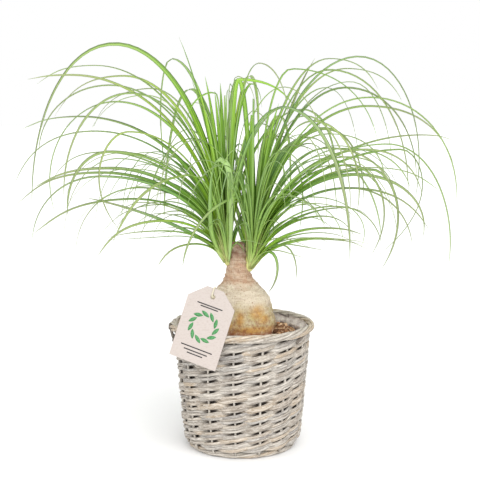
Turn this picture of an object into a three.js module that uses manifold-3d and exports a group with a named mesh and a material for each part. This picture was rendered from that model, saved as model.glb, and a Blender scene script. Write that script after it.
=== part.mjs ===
// A two-headed ponytail palm in a woven willow basket, with a card tag on a cord.
// Millimetres, +Z up, +Y away from the viewer. The origin is the centre of the
// basket's underside, on the surface that it stands on.
import * as THREE from 'three';
import { mergeVertices } from 'three/addons/utils/BufferGeometryUtils.js';
import Module from 'manifold-3d';

const wasm = await Module();
wasm.setup();

// ---- driving dimensions ---------------------------------------------------
const GAP = 0.3;                    // air between pieces that rest on each other

const STAKES = 15;                  // upright willow rods in the basket wall
const WEAVE_ROWS = 11;              // rows, each of a pair of strands twined round the stakes
const WALL_FOOT = 6.8;              // height of the first woven row
const WALL_TOP = 117;               // height of the last woven row
const WALL_RADIUS = [[0, 53], [8, 56.2], [20, 58.2], [55, 61.4], [95, 64.6], [125, 66.2]];
const WALL_THICKNESS = 4.6;
const STAKE_TURN = -7;              // degrees from the side nearest the viewer to the first stake
// How far a row stands out from the wall's radius at its joint, lower, middle and upper level.
const TWINE = { atStake: [-1.5, 0.5, 1.6, 0.5], between: [-1.1, 0.5, -0.4, 0.5] };

// Borders: "thick" is the whole twist's radius, "groove" how deep the strands part.
const RIM = { ring: 68.2, height: 121.2, thick: 3.7, groove: 0.55, strands: 3, turns: 5 };
const FOOT = { ring: 50.9, height: 3.1, thick: 3, groove: 0.5, strands: 3, turns: 4 };
const BASE = { radius: 46.9, thickness: 5, bevel: 1.4, ripple: 0.5 };

const ROUND = STAKES * 2;            // sides of the wall and of what fits inside it
const LINER = { thickness: 0.8, top: 118, heights: [14, 60, 95], slack: 0.2, curl: 4 };
const SOIL = { level: 112, lump: 1.6, ringStep: 5, innerRing: 34, edgeDrop: 1.5 };

const TRUNK_AXIS = [-2, 0];         // the trunk stands a little left of the basket's middle
const TRUNK_PROFILE = [             // radius and height, from under the soil to the cut neck
  [0, 84], [20, 85.5], [34, 92], [41, 101], [42.5, 109], [41.2, 115], [39.6, 120],
  [38, 126], [36, 132], [33.8, 139], [31.2, 147], [27.4, 153], [22.6, 158], [18.2, 162.5],
  [14.6, 168], [12.2, 174], [10.4, 181], [9.2, 188], [8.3, 195], [7.4, 201], [5.6, 203.6],
  [0, 203.2],
];
const TRUNK_SIDES = 26;
const NECK_LEAN = 2.5;              // how far the neck stands to the left of the swelling

const BLADE = { keel: 1.15, tip: 1.1, step: 44, fewest: 4, most: 7 };
const BEND_WEIGHT = 70;             // one radian of bend counts as this much length
const CLEAR_OTHER_HEAD = 5.6;       // least distance between midribs of the two heads
const CLEAR_SAME_HEAD = 3.2;        // and of one head, away from its heart
const HEART = 60;                   // length of leaf that stays packed in the heart

const TAG = { width: 48, height: 73.5, clip: [15.5, 13.5], thickness: 0.8, hole: 5, holeDrop: 8 };
const TAG_PLACE = { facing: 253.6, reach: 71.4, along: -16.4, height: 133.7, lean: 16.3, tilt: 7.4 };
const CORD = { diameter: 1.4, spacing: 2.2, clear: 0.3 };

const COLOURS = {
  willow: { color: 0xb9aa9b, roughness: 0.85 },
  film: { color: 0xdcdad6, roughness: 0.35 },
  soil: { color: 0x5a3a24, roughness: 1 },
  bark: { color: 0xc9b08f, roughness: 0.9 },
  leaf: { color: 0x6fa238, roughness: 0.5 },
  card: { color: 0xefe4dc, roughness: 0.8 },
  cotton: { color: 0xe8dfc6, roughness: 0.95 },
};

// ---- geometry helpers -----------------------------------------------------
const rad = THREE.MathUtils.degToRad;
const clamp = THREE.MathUtils.clamp;

// A repeatable source of numbers from 0 to 1.
function seeded(seed) {
  let state = seed >>> 0;
  return () => {
    state = (state + 0x6d2b79f5) >>> 0;
    let t = state;
    t = Math.imul(t ^ (t >>> 15), t | 1);
    t ^= t + Math.imul(t ^ (t >>> 7), t | 61);
    return ((t ^ (t >>> 14)) >>> 0) / 4294967296;
  };
}

// Straight-line interpolation in a list of [key, value] pairs.
function along(pairs, key) {
  for (let i = 1; i < pairs.length; i += 1) {
    const [k0, v0] = pairs[i - 1];
    const [k1, v1] = pairs[i];
    if (key <= k1) return v0 + ((v1 - v0) * Math.max(0, key - k0)) / (k1 - k0);
  }
  return pairs[pairs.length - 1][1];
}

// Vertices of a geometry merged by position, with collapsed faces taken out.
function welded(geometry) {
  const bare = geometry.clone();
  bare.deleteAttribute('normal');
  bare.deleteAttribute('uv');
  const merged = mergeVertices(bare, 1e-4);
  const corners = merged.index.array;
  const kept = [];
  for (let i = 0; i < corners.length; i += 3) {
    const [a, b, c] = [corners[i], corners[i + 1], corners[i + 2]];
    if (a !== b && b !== c && a !== c) kept.push(a, b, c);
  }
  merged.setIndex(kept);
  return merged;
}

function toSolid(geometry) {
  const merged = welded(geometry);
  const build = (corners) => new wasm.Manifold(new wasm.Mesh({
    numProp: 3,
    vertProperties: new Float32Array(merged.attributes.position.array),
    triVerts: new Uint32Array(corners),
  }));
  const corners = merged.index.array;
  const solid = build(corners);
  return solid.volume() > 0 ? solid : build(Array.from(corners).reverse());
}

// The main body alone, without loose scraps and with any sealed hollow filled.
function mainBody(solid) {
  return solid.decompose().reduce((best, body) => (body.volume() > best.volume() ? body : best));
}

function toGeometry(solid) {
  const mesh = solid.getMesh();
  const geometry = new THREE.BufferGeometry();
  const xyz = new Float32Array(mesh.numVert * 3);
  for (let i = 0; i < mesh.numVert; i += 1) {
    for (let k = 0; k < 3; k += 1) xyz[i * 3 + k] = mesh.vertProperties[i * mesh.numProp + k];
  }
  geometry.setAttribute('position', new THREE.BufferAttribute(xyz, 3));
  geometry.setIndex(new THREE.BufferAttribute(new Uint32Array(mesh.triVerts), 1));
  return geometry;
}

// A solid turned about +Z from [radius, height] points, then moved by a function
// of angle, radius and height that gives the new radius and height.
function turned(profile, sides, shape = (angle, r, z) => [r, z]) {
  const points = profile.map(([r, z]) => new THREE.Vector2(r, z));
  const lathe = new THREE.LatheGeometry(points, sides);
  lathe.rotateX(Math.PI / 2);
  const position = lathe.attributes.position;
  for (let i = 0; i < position.count; i += 1) {
    const angle = Math.atan2(position.getY(i), position.getX(i));
    const radius = Math.hypot(position.getX(i), position.getY(i));
    const [r, z] = radius < 1e-6 ? [0, position.getZ(i)] : shape(angle, radius, position.getZ(i));
    position.setXYZ(i, r * Math.cos(angle), r * Math.sin(angle), z);
  }
  return lathe;
}

function piece(name, solid, finish) {
  const material = new THREE.MeshStandardMaterial({ metalness: 0, ...COLOURS[finish] });
  const mesh = new THREE.Mesh(toGeometry(solid), material);
  mesh.name = name;
  return mesh;
}

// ---- basket ---------------------------------------------------------------
const wallRadius = (z) => along(WALL_RADIUS, z);

// The wall is one shell. At a stake one strand of each row passes in front of it at
// mid height, and between two stakes the row's strands lie one above the other.
function basketWall() {
  const step = (WALL_TOP - WALL_FOOT) / (WEAVE_ROWS * 4);
  const outside = [];
  for (let level = 0; level <= WEAVE_ROWS * 4; level += 1) {
    const z = WALL_FOOT + level * step;
    outside.push([wallRadius(z), z]);
  }
  const inside = [WALL_FOOT, ...LINER.heights, WALL_TOP].map((z) => [wallRadius(z) - WALL_THICKNESS, z]);
  const profile = [...outside, ...inside.reverse(), outside[0]];
  const wall = turned(profile, ROUND, (angle, r, z) => {
    if (r < wallRadius(z) - WALL_THICKNESS / 2) return [r, z];
    const column = Math.round(((angle + Math.PI / 2) * STAKES) / Math.PI);
    const level = Math.round((z - WALL_FOOT) / step) % 4;
    return [r + (column % 2 === 0 ? TWINE.atStake : TWINE.between)[level], z];
  });
  return toSolid(wall.rotateZ(rad(STAKE_TURN)));
}

// A border of willow strands twisted together into a ring.
function twistedRing({ ring, height, thick, groove, strands, turns }, segments, sides) {
  const section = [];
  for (let i = 0; i <= sides; i += 1) {
    const a = (i / sides) * 2 * Math.PI;
    section.push([ring + thick * Math.cos(a), height + thick * Math.sin(a)]);
  }
  return toSolid(turned(section, segments, (angle, r, z) => {
    const a = Math.atan2(z - height, r - ring);
    const reach = thick + groove * Math.cos(strands * (a - turns * angle));
    return [ring + reach * Math.cos(a), Math.max(0, height + reach * Math.sin(a))];
  }));
}

function basketBase() {
  const { radius, thickness, bevel, ripple } = BASE;
  return toSolid(turned([
    [0, 0], [radius - bevel, 0], [radius, bevel], [radius, thickness - bevel],
    [radius - bevel, thickness], [radius * 0.7, thickness - ripple], [radius * 0.4, thickness],
    [0, thickness - ripple],
  ], ROUND));
}

// ---- what the basket holds ------------------------------------------------
const linerRadius = (z) => wallRadius(z) - WALL_THICKNESS - GAP - LINER.slack;

// Film that keeps the soil in: a round-bottomed cup against the woven wall.
function liner() {
  const floor = BASE.thickness + GAP;
  const flat = linerRadius(0) - LINER.curl;
  const t = LINER.thickness;
  const side = [...LINER.heights, LINER.top].map((z) => [linerRadius(z), z]);
  const back = side.map(([r, z], i) => [r - t, i === 0 ? z + t / 2 : z]).reverse();
  const cup = turned([
    [0, floor], [flat, floor], ...side, ...back, [flat - t / 2, floor + t], [0, floor + t],
  ], ROUND);
  return toSolid(cup.rotateZ(rad(STAKE_TURN)));
}

// The trunk: rings of old leaf scars on the neck, and a swollen, slightly
// lopsided foot. "Extra" grows it evenly, to cut the room that it stands in.
function trunk(extra = 0) {
  const profile = TRUNK_PROFILE.map(([r, z], i) => {
    const grown = r === 0 ? 0 : r + extra;
    if (i === 0) return [grown, z - extra];
    return [grown, i === TRUNK_PROFILE.length - 1 ? z + extra : z];
  });
  const geometry = turned(profile, TRUNK_SIDES, (angle, r, z) => {
    const bulb = clamp((165 - z) / 30, 0, 1);
    const lobes = 1 + bulb * (0.022 * Math.cos(3 * angle + 0.6) + 0.012 * Math.cos(5 * angle + z / 14));
    const scars = (1 - bulb) * 0.35 * Math.cos(7 * angle + z * 0.8);
    return [r * lobes + scars, z];
  });
  const position = geometry.attributes.position;
  for (let i = 0; i < position.count; i += 1) {
    const lean = NECK_LEAN * THREE.MathUtils.smoothstep(position.getZ(i), 155, 182);
    position.setX(i, position.getX(i) + TRUNK_AXIS[0] - lean);
    position.setY(i, position.getY(i) + TRUNK_AXIS[1]);
  }
  return toSolid(geometry);
}

function soil() {
  const random = seeded(41);
  const waves = Array.from({ length: 5 }, () => ({
    count: 3 + Math.floor(random() * 9), phase: random() * 2 * Math.PI, step: 0.1 + random() * 0.2,
  }));
  const inset = LINER.thickness + GAP;
  const edge = linerRadius(SOIL.level) - inset;
  const floor = BASE.thickness + GAP + inset;
  const flat = linerRadius(0) - LINER.curl - inset;
  const side = LINER.heights.map((z, i) => [linerRadius(z) - inset, i === 0 ? z + inset : z]);
  const top = [];
  for (let r = edge; r > SOIL.innerRing; r -= SOIL.ringStep) top.push([r, SOIL.level]);
  const geometry = turned([
    [0, floor], [flat, floor], ...side, [edge, SOIL.level - 2 * SOIL.lump], ...top, [0, SOIL.level],
  ], ROUND, (angle, r, z) => {
    if (z < SOIL.level - 1) return [r, z];
    const heap = waves.reduce((sum, { count, phase, step }) => (
      sum + Math.cos(count * angle + phase + r * step)), 0);
    return [r, z + (SOIL.lump * heap) / 2.2 - (r > edge - 1 ? SOIL.edgeDrop : 0)];
  });
  return toSolid(geometry.rotateZ(rad(STAKE_TURN))).subtract(trunk(GAP));
}

// ---- leaves ---------------------------------------------------------------
// Each head is a short shoot on the neck. "Heart" is its core, as [radius, height].
const LEAF_SEED = 11;
const HEADS = {
  left: {
    base: [-15, -1, 190],
    heart: [[0, 181], [3, 182], [7, 190], [9.6, 202], [9, 214], [5.5, 227], [0, 232]],
  },
  right: {
    base: [10, -2, 185],
    heart: [[0, 176], [3, 177], [6.4, 185], [9, 198], [8.4, 209], [5, 221], [0, 226]],
  },
};

// Leaves that give the plant its outline. Azimuth in degrees (0 right, 90 away,
// 180 left, 270 towards the viewer), reach and height of the top of the arch,
// reach and height of the tip, how far the leaf bellies out beyond both, its
// width, and how far its azimuth turns from root to tip.
const OUTLINE_LEAVES = {
  left: [
    [185, 107, 396, 189, 241, 0, 5.4, 0], [172, 131, 377, 190, 359, 0, 3.4, 0],
    [196, 150, 367, 190, 363, 0, 3.2, 0], [160, 119, 341, 191, 225, 16, 3.4, 0],
    [205, 98, 350, 164, 252, 2, 3.2, 0], [150, 122, 367, 213, 325, 0, 2.4, 0],
    [190, 143, 328, 197, 316, 0, 5, 0], [178, 129, 313, 210, 259, 0, 3.4, 0],
    [215, 110, 315, 119, 224, 30, 3, 0], [198, 117, 295, 156, 234, 3, 4.6, 0],
    [165, 128, 291, 186, 260, 0, 3, 0], [186, 115, 278, 187, 260, 0, 3.6, 0],
    [170, 125, 271, 217, 238, 0, 3.4, 0], [193, 125, 271, 189, 211, 0, 4, 0],
    [200, 99, 250, 190, 221, 0, 4, 0], [175, 139, 247, 139, 247, 0, 3, 0],
    [212, 79, 230, 139, 201, 0, 3.4, 0], [235, 59, 274, 169, 224, 0, 3.6, 0],
    [208, 37, 205, 75, 186, 0, 3, 0], [240, 22, 291, 34, 186, 4, 4, 35],
    [140, 74, 384, 81, 260, 13, 3, 0], [165, 48, 404, 48, 404, 0, 2.6, 0],
    [150, 39, 362, 39, 362, 0, 3.4, 0], [120, 15, 360, 15, 360, 0, 4.4, 0],
    [20, 12, 363, 75, 332, 0, 3, 0], [318, 70, 337, 150, 202, 1, 4.8, 0],
  ],
  right: [
    [5, 104, 385, 162, 242, 11, 3.8, 0], [25, 85, 384, 141, 354, 0, 3.4, 0],
    [340, 40, 373, 125, 301, 0, 3, 0], [30, 72, 384, 72, 384, 0, 3.4, 0],
    [15, 97, 374, 156, 342, 0, 3.2, 0], [348, 74, 372, 151, 250, 2, 3.6, 0],
    [355, 90, 355, 159, 268, 0, 4.6, 0], [352, 113, 346, 197, 248, 1, 4.2, 0],
    [8, 114, 337, 203, 281, 0, 3.6, 0], [12, 173, 308, 210, 302, 0, 3.2, 0],
    [358, 131, 301, 193, 182, 5, 3.8, 0], [20, 121, 275, 210, 248, 0, 3.2, 0],
    [350, 97, 259, 172, 220, 0, 3.6, 0], [335, 102, 283, 122, 198, 20, 3.4, 0],
    [345, 117, 278, 128, 183, 22, 3.4, 0], [10, 151, 294, 126, 186, 31, 2.4, 0],
    [25, 100, 234, 132, 224, 0, 3, 0], [355, 73, 219, 109, 213, 0, 3.2, 0],
    [300, 70, 256, 126, 234, 0, 3.2, 0], [330, 33, 205, 50, 172, 1, 2.6, 0],
    [320, 24, 199, 20, 156, 11, 2.6, 0], [236, 17, 250, 77, 186, 0, 3.2, -26],
  ],
};

// The rest are drawn by rule: tiers from the upright heart to the low outer
// leaves, each with ranges for the arch's reach and height and the tip beyond it.
const TIERS = [
  { share: 0.16, reach: [12, 55], height: [300, 375], past: [10, 45], drop: [4, 40], width: [3, 4] },
  { share: 0.32, reach: [60, 115], height: [315, 385], past: [45, 80], drop: [50, 150], width: [2.6, 4.2] },
  { share: 0.30, reach: [80, 120], height: [255, 315], past: [50, 85], drop: [30, 110], width: [2.4, 4] },
  { share: 0.22, reach: [45, 90], height: [205, 250], past: [25, 70], drop: [12, 60], width: [2.2, 3.4] },
];
const LEAVES_PER_HEAD = 82;
const TRIES_PER_HEAD = 900;
const GOLDEN_ANGLE = 137.508;
const TRUNK_IN_VIEW = 45;           // leaves towards the viewer end this much higher, clear of the trunk
const LOWEST_TIP = 196;             // of the leaves drawn by rule
const DEPTH_SQUEEZE = 0.08;         // leaves towards and away from the viewer are this much shorter

function drawnLeaf(random, index) {
  const pick = ([low, high]) => low + (high - low) * random();
  let rank = random();
  const tier = TIERS.find((candidate) => {
    rank -= candidate.share;
    return rank < 0;
  }) ?? TIERS[TIERS.length - 1];
  const azimuth = (index * GOLDEN_ANGLE + 20 * random()) % 360;
  const short = 1 - DEPTH_SQUEEZE * Math.abs(Math.sin(rad(azimuth)));
  const reach = pick(tier.reach) * short;
  const height = pick(tier.height);
  const past = pick(tier.past) * short;
  const drop = pick(tier.drop);
  const belly = random() < 0.25 ? 14 * random() : 0;
  const floor = LOWEST_TIP + TRUNK_IN_VIEW * Math.max(0, -Math.sin(rad(azimuth)));
  const tip = Math.min(height, Math.max(floor, height - drop));
  return [azimuth, reach, height, reach + past, tip, belly, pick(tier.width), 24 * (random() - 0.5)];
}

// A path cut down to a few points, closer together where it bends more.
function evenlyBent(points, steps) {
  const measure = [0];
  for (let i = 1; i < points.length; i += 1) {
    const forward = points[i].clone().sub(points[i - 1]);
    const next = (points[i + 1] ?? points[i]).clone().sub(points[i]);
    const bend = next.lengthSq() > 0 ? forward.angleTo(next) : 0;
    measure.push(measure[i - 1] + forward.length() + BEND_WEIGHT * bend);
  }
  const total = measure[measure.length - 1];
  const pairs = points.map((point, i) => [measure[i] / total, point]);
  return Array.from({ length: steps + 1 }, (unused, i) => {
    const k = Math.max(1, pairs.findIndex(([m]) => m >= i / steps - 1e-9));
    const [m0, from] = pairs[k - 1];
    const [m1, to] = pairs[k];
    return from.clone().lerp(to, clamp((i / steps - m0) / (m1 - m0), 0, 1));
  });
}

// The midrib: up out of the heart, over the arch, and down to the tip. A leaf whose
// tip is also its highest point stands nearly straight.
function midrib({ base: [bx, by, bz] }, leaf, steps) {
  const [azimuth, reach, height, tipReach, tipHeight, belly, , sweep] = leaf;
  const upright = clamp((height - 200) / 190, 0, 1);
  const r0 = 6.5 - 4 * upright;
  const z0 = bz + 22 * upright;
  const far = Math.max(reach, tipReach) + belly;
  const arched = Math.hypot(tipReach - reach, tipHeight - height) > 1;
  const curve = new THREE.CurvePath();
  const p = (r, z) => new THREE.Vector3(r, 0, z);
  const share = (r, z) => p(r0 + r * (reach - r0), z0 + z * (height - z0));
  curve.add(new THREE.CubicBezierCurve3(
    p(r0, z0), arched ? share(0.13, 0.62) : share(0.25, 0.42),
    arched ? share(0.55, 1) : share(0.6, 0.8), p(reach, height),
  ));
  if (arched) {
    const droop = Math.min(1, (height - tipHeight) / Math.max(far - reach, 1));
    const bow = 0.35 * (far - tipReach) - (1 - droop) * 0.35 * (far - reach);
    curve.add(new THREE.CubicBezierCurve3(
      p(reach, height), p(reach + 0.62 * (far - reach), height),
      p(far + bow, tipHeight + 0.5 * (height - tipHeight)), p(tipReach, tipHeight),
    ));
  }
  return evenlyBent(curve.getSpacedPoints(40), steps).map((flat, i) => {
    const turn = rad(azimuth + (sweep * i) / steps);
    const out = new THREE.Vector3(Math.cos(turn), Math.sin(turn), 0);
    return { point: new THREE.Vector3(bx, by, flat.z).addScaledVector(out, flat.x), turn };
  });
}

function leafLength(head, leaf) {
  const rib = midrib(head, leaf, 16);
  return rib.slice(1).reduce((sum, { point }, i) => sum + point.distanceTo(rib[i].point), 0);
}

// Points about 6 mm apart on the midrib, for keeping leaves off each other.
function traced(head, leaf) {
  const length = leafLength(head, leaf);
  const steps = Math.max(4, Math.round(length / 6));
  return midrib(head, leaf, steps).map(({ point }, i) => ({ point, free: (i / steps) * length > HEART }));
}

function clashes(trace, others, clearance, freeOnly) {
  return others.some((other) => trace.some((a) => (a.free || !freeOnly) && other.some((b) => (
    (b.free || !freeOnly) && a.point.distanceTo(b.point) < clearance))));
}

function plannedLeaves() {
  const plans = {};
  const traces = { left: [], right: [] };
  for (const side of ['left', 'right']) {
    plans[side] = OUTLINE_LEAVES[side].slice();
    traces[side] = plans[side].map((leaf) => traced(HEADS[side], leaf));
  }
  const random = seeded(LEAF_SEED);
  for (let attempt = 0; attempt < TRIES_PER_HEAD; attempt += 1) {
    for (const [side, other] of [['left', 'right'], ['right', 'left']]) {
      const leaf = drawnLeaf(random, attempt);
      if (plans[side].length >= LEAVES_PER_HEAD) continue;
      const trace = traced(HEADS[side], leaf);
      if (clashes(trace, traces[other], CLEAR_OTHER_HEAD, false)) continue;
      if (clashes(trace, traces[side], CLEAR_SAME_HEAD, true)) continue;
      plans[side].push(leaf);
      traces[side].push(trace);
    }
  }
  return plans;
}

// A blade is three-cornered in section: two edges and a keel under the midrib.
function blade(head, leaf) {
  const width = leaf[6];
  const steps = clamp(Math.round(leafLength(head, leaf) / BLADE.step), BLADE.fewest, BLADE.most);
  const rib = midrib(head, leaf, steps);
  const xyz = [];
  rib.forEach(({ point, turn }, i) => {
    const t = i / steps;
    const before = rib[Math.max(0, i - 1)].point;
    const after = rib[Math.min(steps, i + 1)].point;
    const forward = after.clone().sub(before).normalize();
    const side = new THREE.Vector3(-Math.sin(turn), Math.cos(turn), 0);
    const up = forward.clone().cross(side).normalize();
    const half = Math.max(BLADE.tip, width * along([[0, 0.7], [0.2, 1], [0.5, 0.85], [1, 0.2]], t)) / 2;
    const keel = BLADE.keel * (1 - 0.35 * t);
    for (const corner of [
      point.clone().addScaledVector(side, half),
      point.clone().addScaledVector(side, -half),
      point.clone().addScaledVector(up, -keel),
    ]) xyz.push(corner.x, corner.y, corner.z);
  });
  const index = [0, 1, 2];
  for (let i = 0; i < steps; i += 1) {
    for (let k = 0; k < 3; k += 1) {
      const [a, b] = [i * 3 + k, i * 3 + ((k + 1) % 3)];
      index.push(a, a + 3, b, b, a + 3, b + 3);
    }
  }
  const last = steps * 3;
  index.push(last + 1, last, last + 2);
  const geometry = new THREE.BufferGeometry();
  geometry.setAttribute('position', new THREE.Float32BufferAttribute(xyz, 3));
  geometry.setIndex(index);
  return toSolid(geometry);
}

function crown(side, leaves) {
  const head = HEADS[side];
  const heart = turned(head.heart, 14);
  heart.translate(head.base[0], head.base[1], 0);
  const joined = leaves.reduce((sum, leaf) => sum.add(blade(head, leaf)), toSolid(heart));
  return mainBody(joined.subtract(trunk(GAP)));
}

// ---- tag and cord ---------------------------------------------------------
// The card hangs against the basket's rim. Its own frame has x across the card,
// y up along it and z out of its face, with the origin at the cord hole. "Lean"
// tips it sideways in its own plane, and "tilt" tips its top back.
function tagFrame() {
  const turn = rad(TAG_PLACE.facing);
  const [lean, tilt] = [rad(TAG_PLACE.lean), rad(TAG_PLACE.tilt)];
  const out = new THREE.Vector3(Math.cos(turn), Math.sin(turn), 0);
  const level = new THREE.Vector3(-Math.sin(turn), Math.cos(turn), 0);
  const height = new THREE.Vector3(0, 0, 1);
  const face = out.clone().multiplyScalar(Math.cos(tilt)).addScaledVector(height, Math.sin(tilt));
  const rise = height.clone().multiplyScalar(Math.cos(tilt)).addScaledVector(out, -Math.sin(tilt));
  const up = rise.multiplyScalar(Math.cos(lean)).addScaledVector(level, Math.sin(lean));
  const across = up.clone().cross(face);
  const hole = out.multiplyScalar(TAG_PLACE.reach).addScaledVector(level, TAG_PLACE.along);
  hole.z = TAG_PLACE.height;
  hole.addScaledVector(up, TAG.height / 2 - TAG.holeDrop);
  return new THREE.Matrix4().makeBasis(across, up, face).setPosition(hole);
}

function tag() {
  const [half, top] = [TAG.width / 2, TAG.holeDrop];
  const bottom = top - TAG.height;
  const [clipAcross, clipDown] = TAG.clip;
  const outline = new THREE.Shape([
    [-half, bottom], [half, bottom], [half, top - clipDown], [half - clipAcross, top],
    [clipAcross - half, top], [-half, top - clipDown],
  ].map(([x, y]) => new THREE.Vector2(x, y)));
  outline.holes.push(new THREE.Path().absarc(0, 0, TAG.hole / 2, 0, 2 * Math.PI, true));
  const card = new THREE.ExtrudeGeometry(outline, {
    depth: TAG.thickness, bevelEnabled: false, curveSegments: 6,
  });
  card.applyMatrix4(tagFrame());
  return toSolid(card);
}

// One length of cord, doubled: up from the rim behind the card, over its top
// edge, down to the hole, through it, and back up and over beside itself.
function cordRoute() {
  const frame = tagFrame();
  const s = CORD.spacing / 2;
  const front = TAG.thickness + CORD.diameter / 2 + CORD.clear;
  const back = -CORD.diameter / 2 - CORD.clear;
  const top = TAG.holeDrop;
  return [
    [0.3, -35.6, -5.6], [-0.2, -30, -4.4], [-0.8, -23, -3], [-s, -15, back - 1.2], [-s, -7, back - 0.7],
    [-s, 0, back - 0.4], [-s, 5.5, back - 0.2], [-s, top + 0.9, back + 0.3],
    [-s, top + 1.4, TAG.thickness / 2], [-s, top + 0.7, front - 0.2],
    [-s, 4, front + 0.2], [-s * 0.8, 0.9, front], [-s * 0.3, -0.3, TAG.thickness / 2],
    [s * 0.3, -0.5, back - 0.6], [s * 1.2, 1.2, back - 1.8], [s * 1.6, 5, back - 1.6],
    [s * 1.5, 0, back - 2.6], [s, -8, back - 2.6], [1.4, -16, -3.4], [1.9, -23, -3.4],
    [2.3, -30, -4.1], [2.7, -35, -5.3],
  ].map(([x, y, z]) => new THREE.Vector3(x, y, z).applyMatrix4(frame));
}

function tagCord() {
  const path = new THREE.CatmullRomCurve3(cordRoute());
  const section = new THREE.Shape();
  section.absarc(0, 0, CORD.diameter / 2, 0, 2 * Math.PI, false);
  const steps = Math.round(path.getLength() / (2.4 * CORD.diameter));
  return toSolid(new THREE.ExtrudeGeometry(section, { extrudePath: path, steps, curveSegments: 4 }));
}

// ---- the whole ------------------------------------------------------------
const leaves = plannedLeaves();
const group = new THREE.Group();
group.add(
  piece('basket_base', basketBase(), 'willow'),
  piece('basket_foot', twistedRing(FOOT, 48, 6), 'willow'),
  piece('basket_wall', basketWall(), 'willow'),
  piece('basket_rim', twistedRing(RIM, 60, 7), 'willow'),
  piece('liner', liner(), 'film'),
  piece('soil', soil(), 'soil'),
  piece('trunk', trunk(), 'bark'),
  piece('crown_left', crown('left', leaves.left), 'leaf'),
  piece('crown_right', crown('right', leaves.right), 'leaf'),
  piece('tag', tag(), 'card'),
  piece('tag_cord', tagCord(), 'cotton'),
);

export default group;
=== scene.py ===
"""Looks of a two-headed ponytail palm in a woven willow basket with a card tag.

The classes hold their sizes in millimetres and degrees, and every mesh is made in
metres in the part's own frame: +Z up, +Y away from the viewer, and the origin under
the middle of the basket.
"""

import logging
import math
from dataclasses import dataclass
from enum import Enum
from typing import Callable, Sequence, Union

import bpy
import numpy as np
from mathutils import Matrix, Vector, noise


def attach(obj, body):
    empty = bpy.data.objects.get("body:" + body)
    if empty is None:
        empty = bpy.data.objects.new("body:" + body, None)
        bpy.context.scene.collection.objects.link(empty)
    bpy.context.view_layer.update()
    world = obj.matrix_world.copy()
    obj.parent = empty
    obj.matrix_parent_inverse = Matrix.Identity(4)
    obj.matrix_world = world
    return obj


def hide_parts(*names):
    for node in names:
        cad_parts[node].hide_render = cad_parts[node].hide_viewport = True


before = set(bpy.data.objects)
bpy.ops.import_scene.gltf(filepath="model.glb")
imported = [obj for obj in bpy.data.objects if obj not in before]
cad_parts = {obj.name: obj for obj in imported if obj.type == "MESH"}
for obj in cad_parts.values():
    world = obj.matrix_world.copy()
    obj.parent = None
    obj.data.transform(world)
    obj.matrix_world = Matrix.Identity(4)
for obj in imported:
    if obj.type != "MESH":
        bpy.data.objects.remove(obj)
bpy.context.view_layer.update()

MM = 0.001
TAU = 2 * math.pi
WORD = 0xFFFFFFFF
ROOT = "root"
STUDIO_SHARE = 0.76
UP = (0.0, 0.0, 1.0)
LOG = logging.getLogger("potted_palm")

Colour = tuple[float, float, float]
Pair = tuple[float, float]
Point = tuple[float, float, float]
Numbers = Union[float, np.ndarray]
Socket = bpy.types.NodeSocket
Material = bpy.types.Material
Source = Union[Socket, float, Colour]
Random = Callable[[], float]


# ---- numbers and lines ----------------------------------------------------
def seeded(seed: int) -> Random:
    """Make a repeatable source of numbers from 0 to 1.

    Args:
        seed: Whole number that fixes the run of draws.

    Returns:
        A function that gives the next number at each call.
    """
    state = seed & WORD

    def draw() -> float:
        """Step the state on and return the next number."""
        nonlocal state
        state = (state + 0x6D2B79F5) & WORD
        t = ((state ^ (state >> 15)) * (state | 1)) & WORD
        t ^= (t + (t ^ (t >> 7)) * (t | 61)) & WORD
        return (t ^ (t >> 14)) / (WORD + 1)

    return draw


def between(random: Random, low: float, high: float) -> float:
    """Draw one number from low to high."""
    return low + (high - low) * random()


def along(pairs: Sequence[Pair], key: Numbers) -> Numbers:
    """Read a list of (key, value) pairs with straight lines between them."""
    keys, values = zip(*pairs)
    return np.interp(key, keys, values)


def eased(low: float, high: float, value: Numbers) -> np.ndarray:
    """Rise smoothly from 0 at low to 1 at high."""
    t = np.clip((np.asarray(value, float) - low) / (high - low), 0, 1)
    return t * t * (3 - 2 * t)


def faded(share: np.ndarray, fade: float) -> np.ndarray:
    """Rise from 0 to 1 at the start of a run, and fall back to 0 at its end."""
    return eased(0, fade, np.minimum(share, 1 - share))


def unit(vectors: np.ndarray) -> np.ndarray:
    """Scale vectors to length 1 along their last axis."""
    return vectors / np.maximum(np.linalg.norm(vectors, axis=-1, keepdims=True), 1e-9)


def directions(line: np.ndarray) -> np.ndarray:
    """Give the direction of travel at each point of a line."""
    return unit(np.gradient(line, axis=0))


def travelled(line: np.ndarray) -> np.ndarray:
    """Give the distance covered at each point of a line."""
    return np.concatenate([[0.0], np.cumsum(np.linalg.norm(np.diff(line, axis=0), axis=1))])


def evenly(line: np.ndarray, steps: int) -> np.ndarray:
    """Cut a line into equal steps."""
    done = travelled(line)
    at = np.linspace(0, done[-1], steps + 1)
    return np.stack([np.interp(at, done, column) for column in line.T], axis=1)


def turns(count: int) -> np.ndarray:
    """Give the angles of places spread evenly round a circle."""
    return np.arange(count) * TAU / count


def about_axis(radius: Numbers, angle: Numbers, height: Numbers) -> np.ndarray:
    """Place points by their distance from the Z axis, their angle and their height."""
    x, y = radius * np.cos(angle), radius * np.sin(angle)
    return np.stack(np.broadcast_arrays(x, y, height), axis=-1)


def spun(x: Numbers, y: Numbers, angle: float) -> tuple[Numbers, Numbers]:
    """Turn places in a plane round its origin."""
    return x * math.cos(angle) - y * math.sin(angle), x * math.sin(angle) + y * math.cos(angle)


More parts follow.
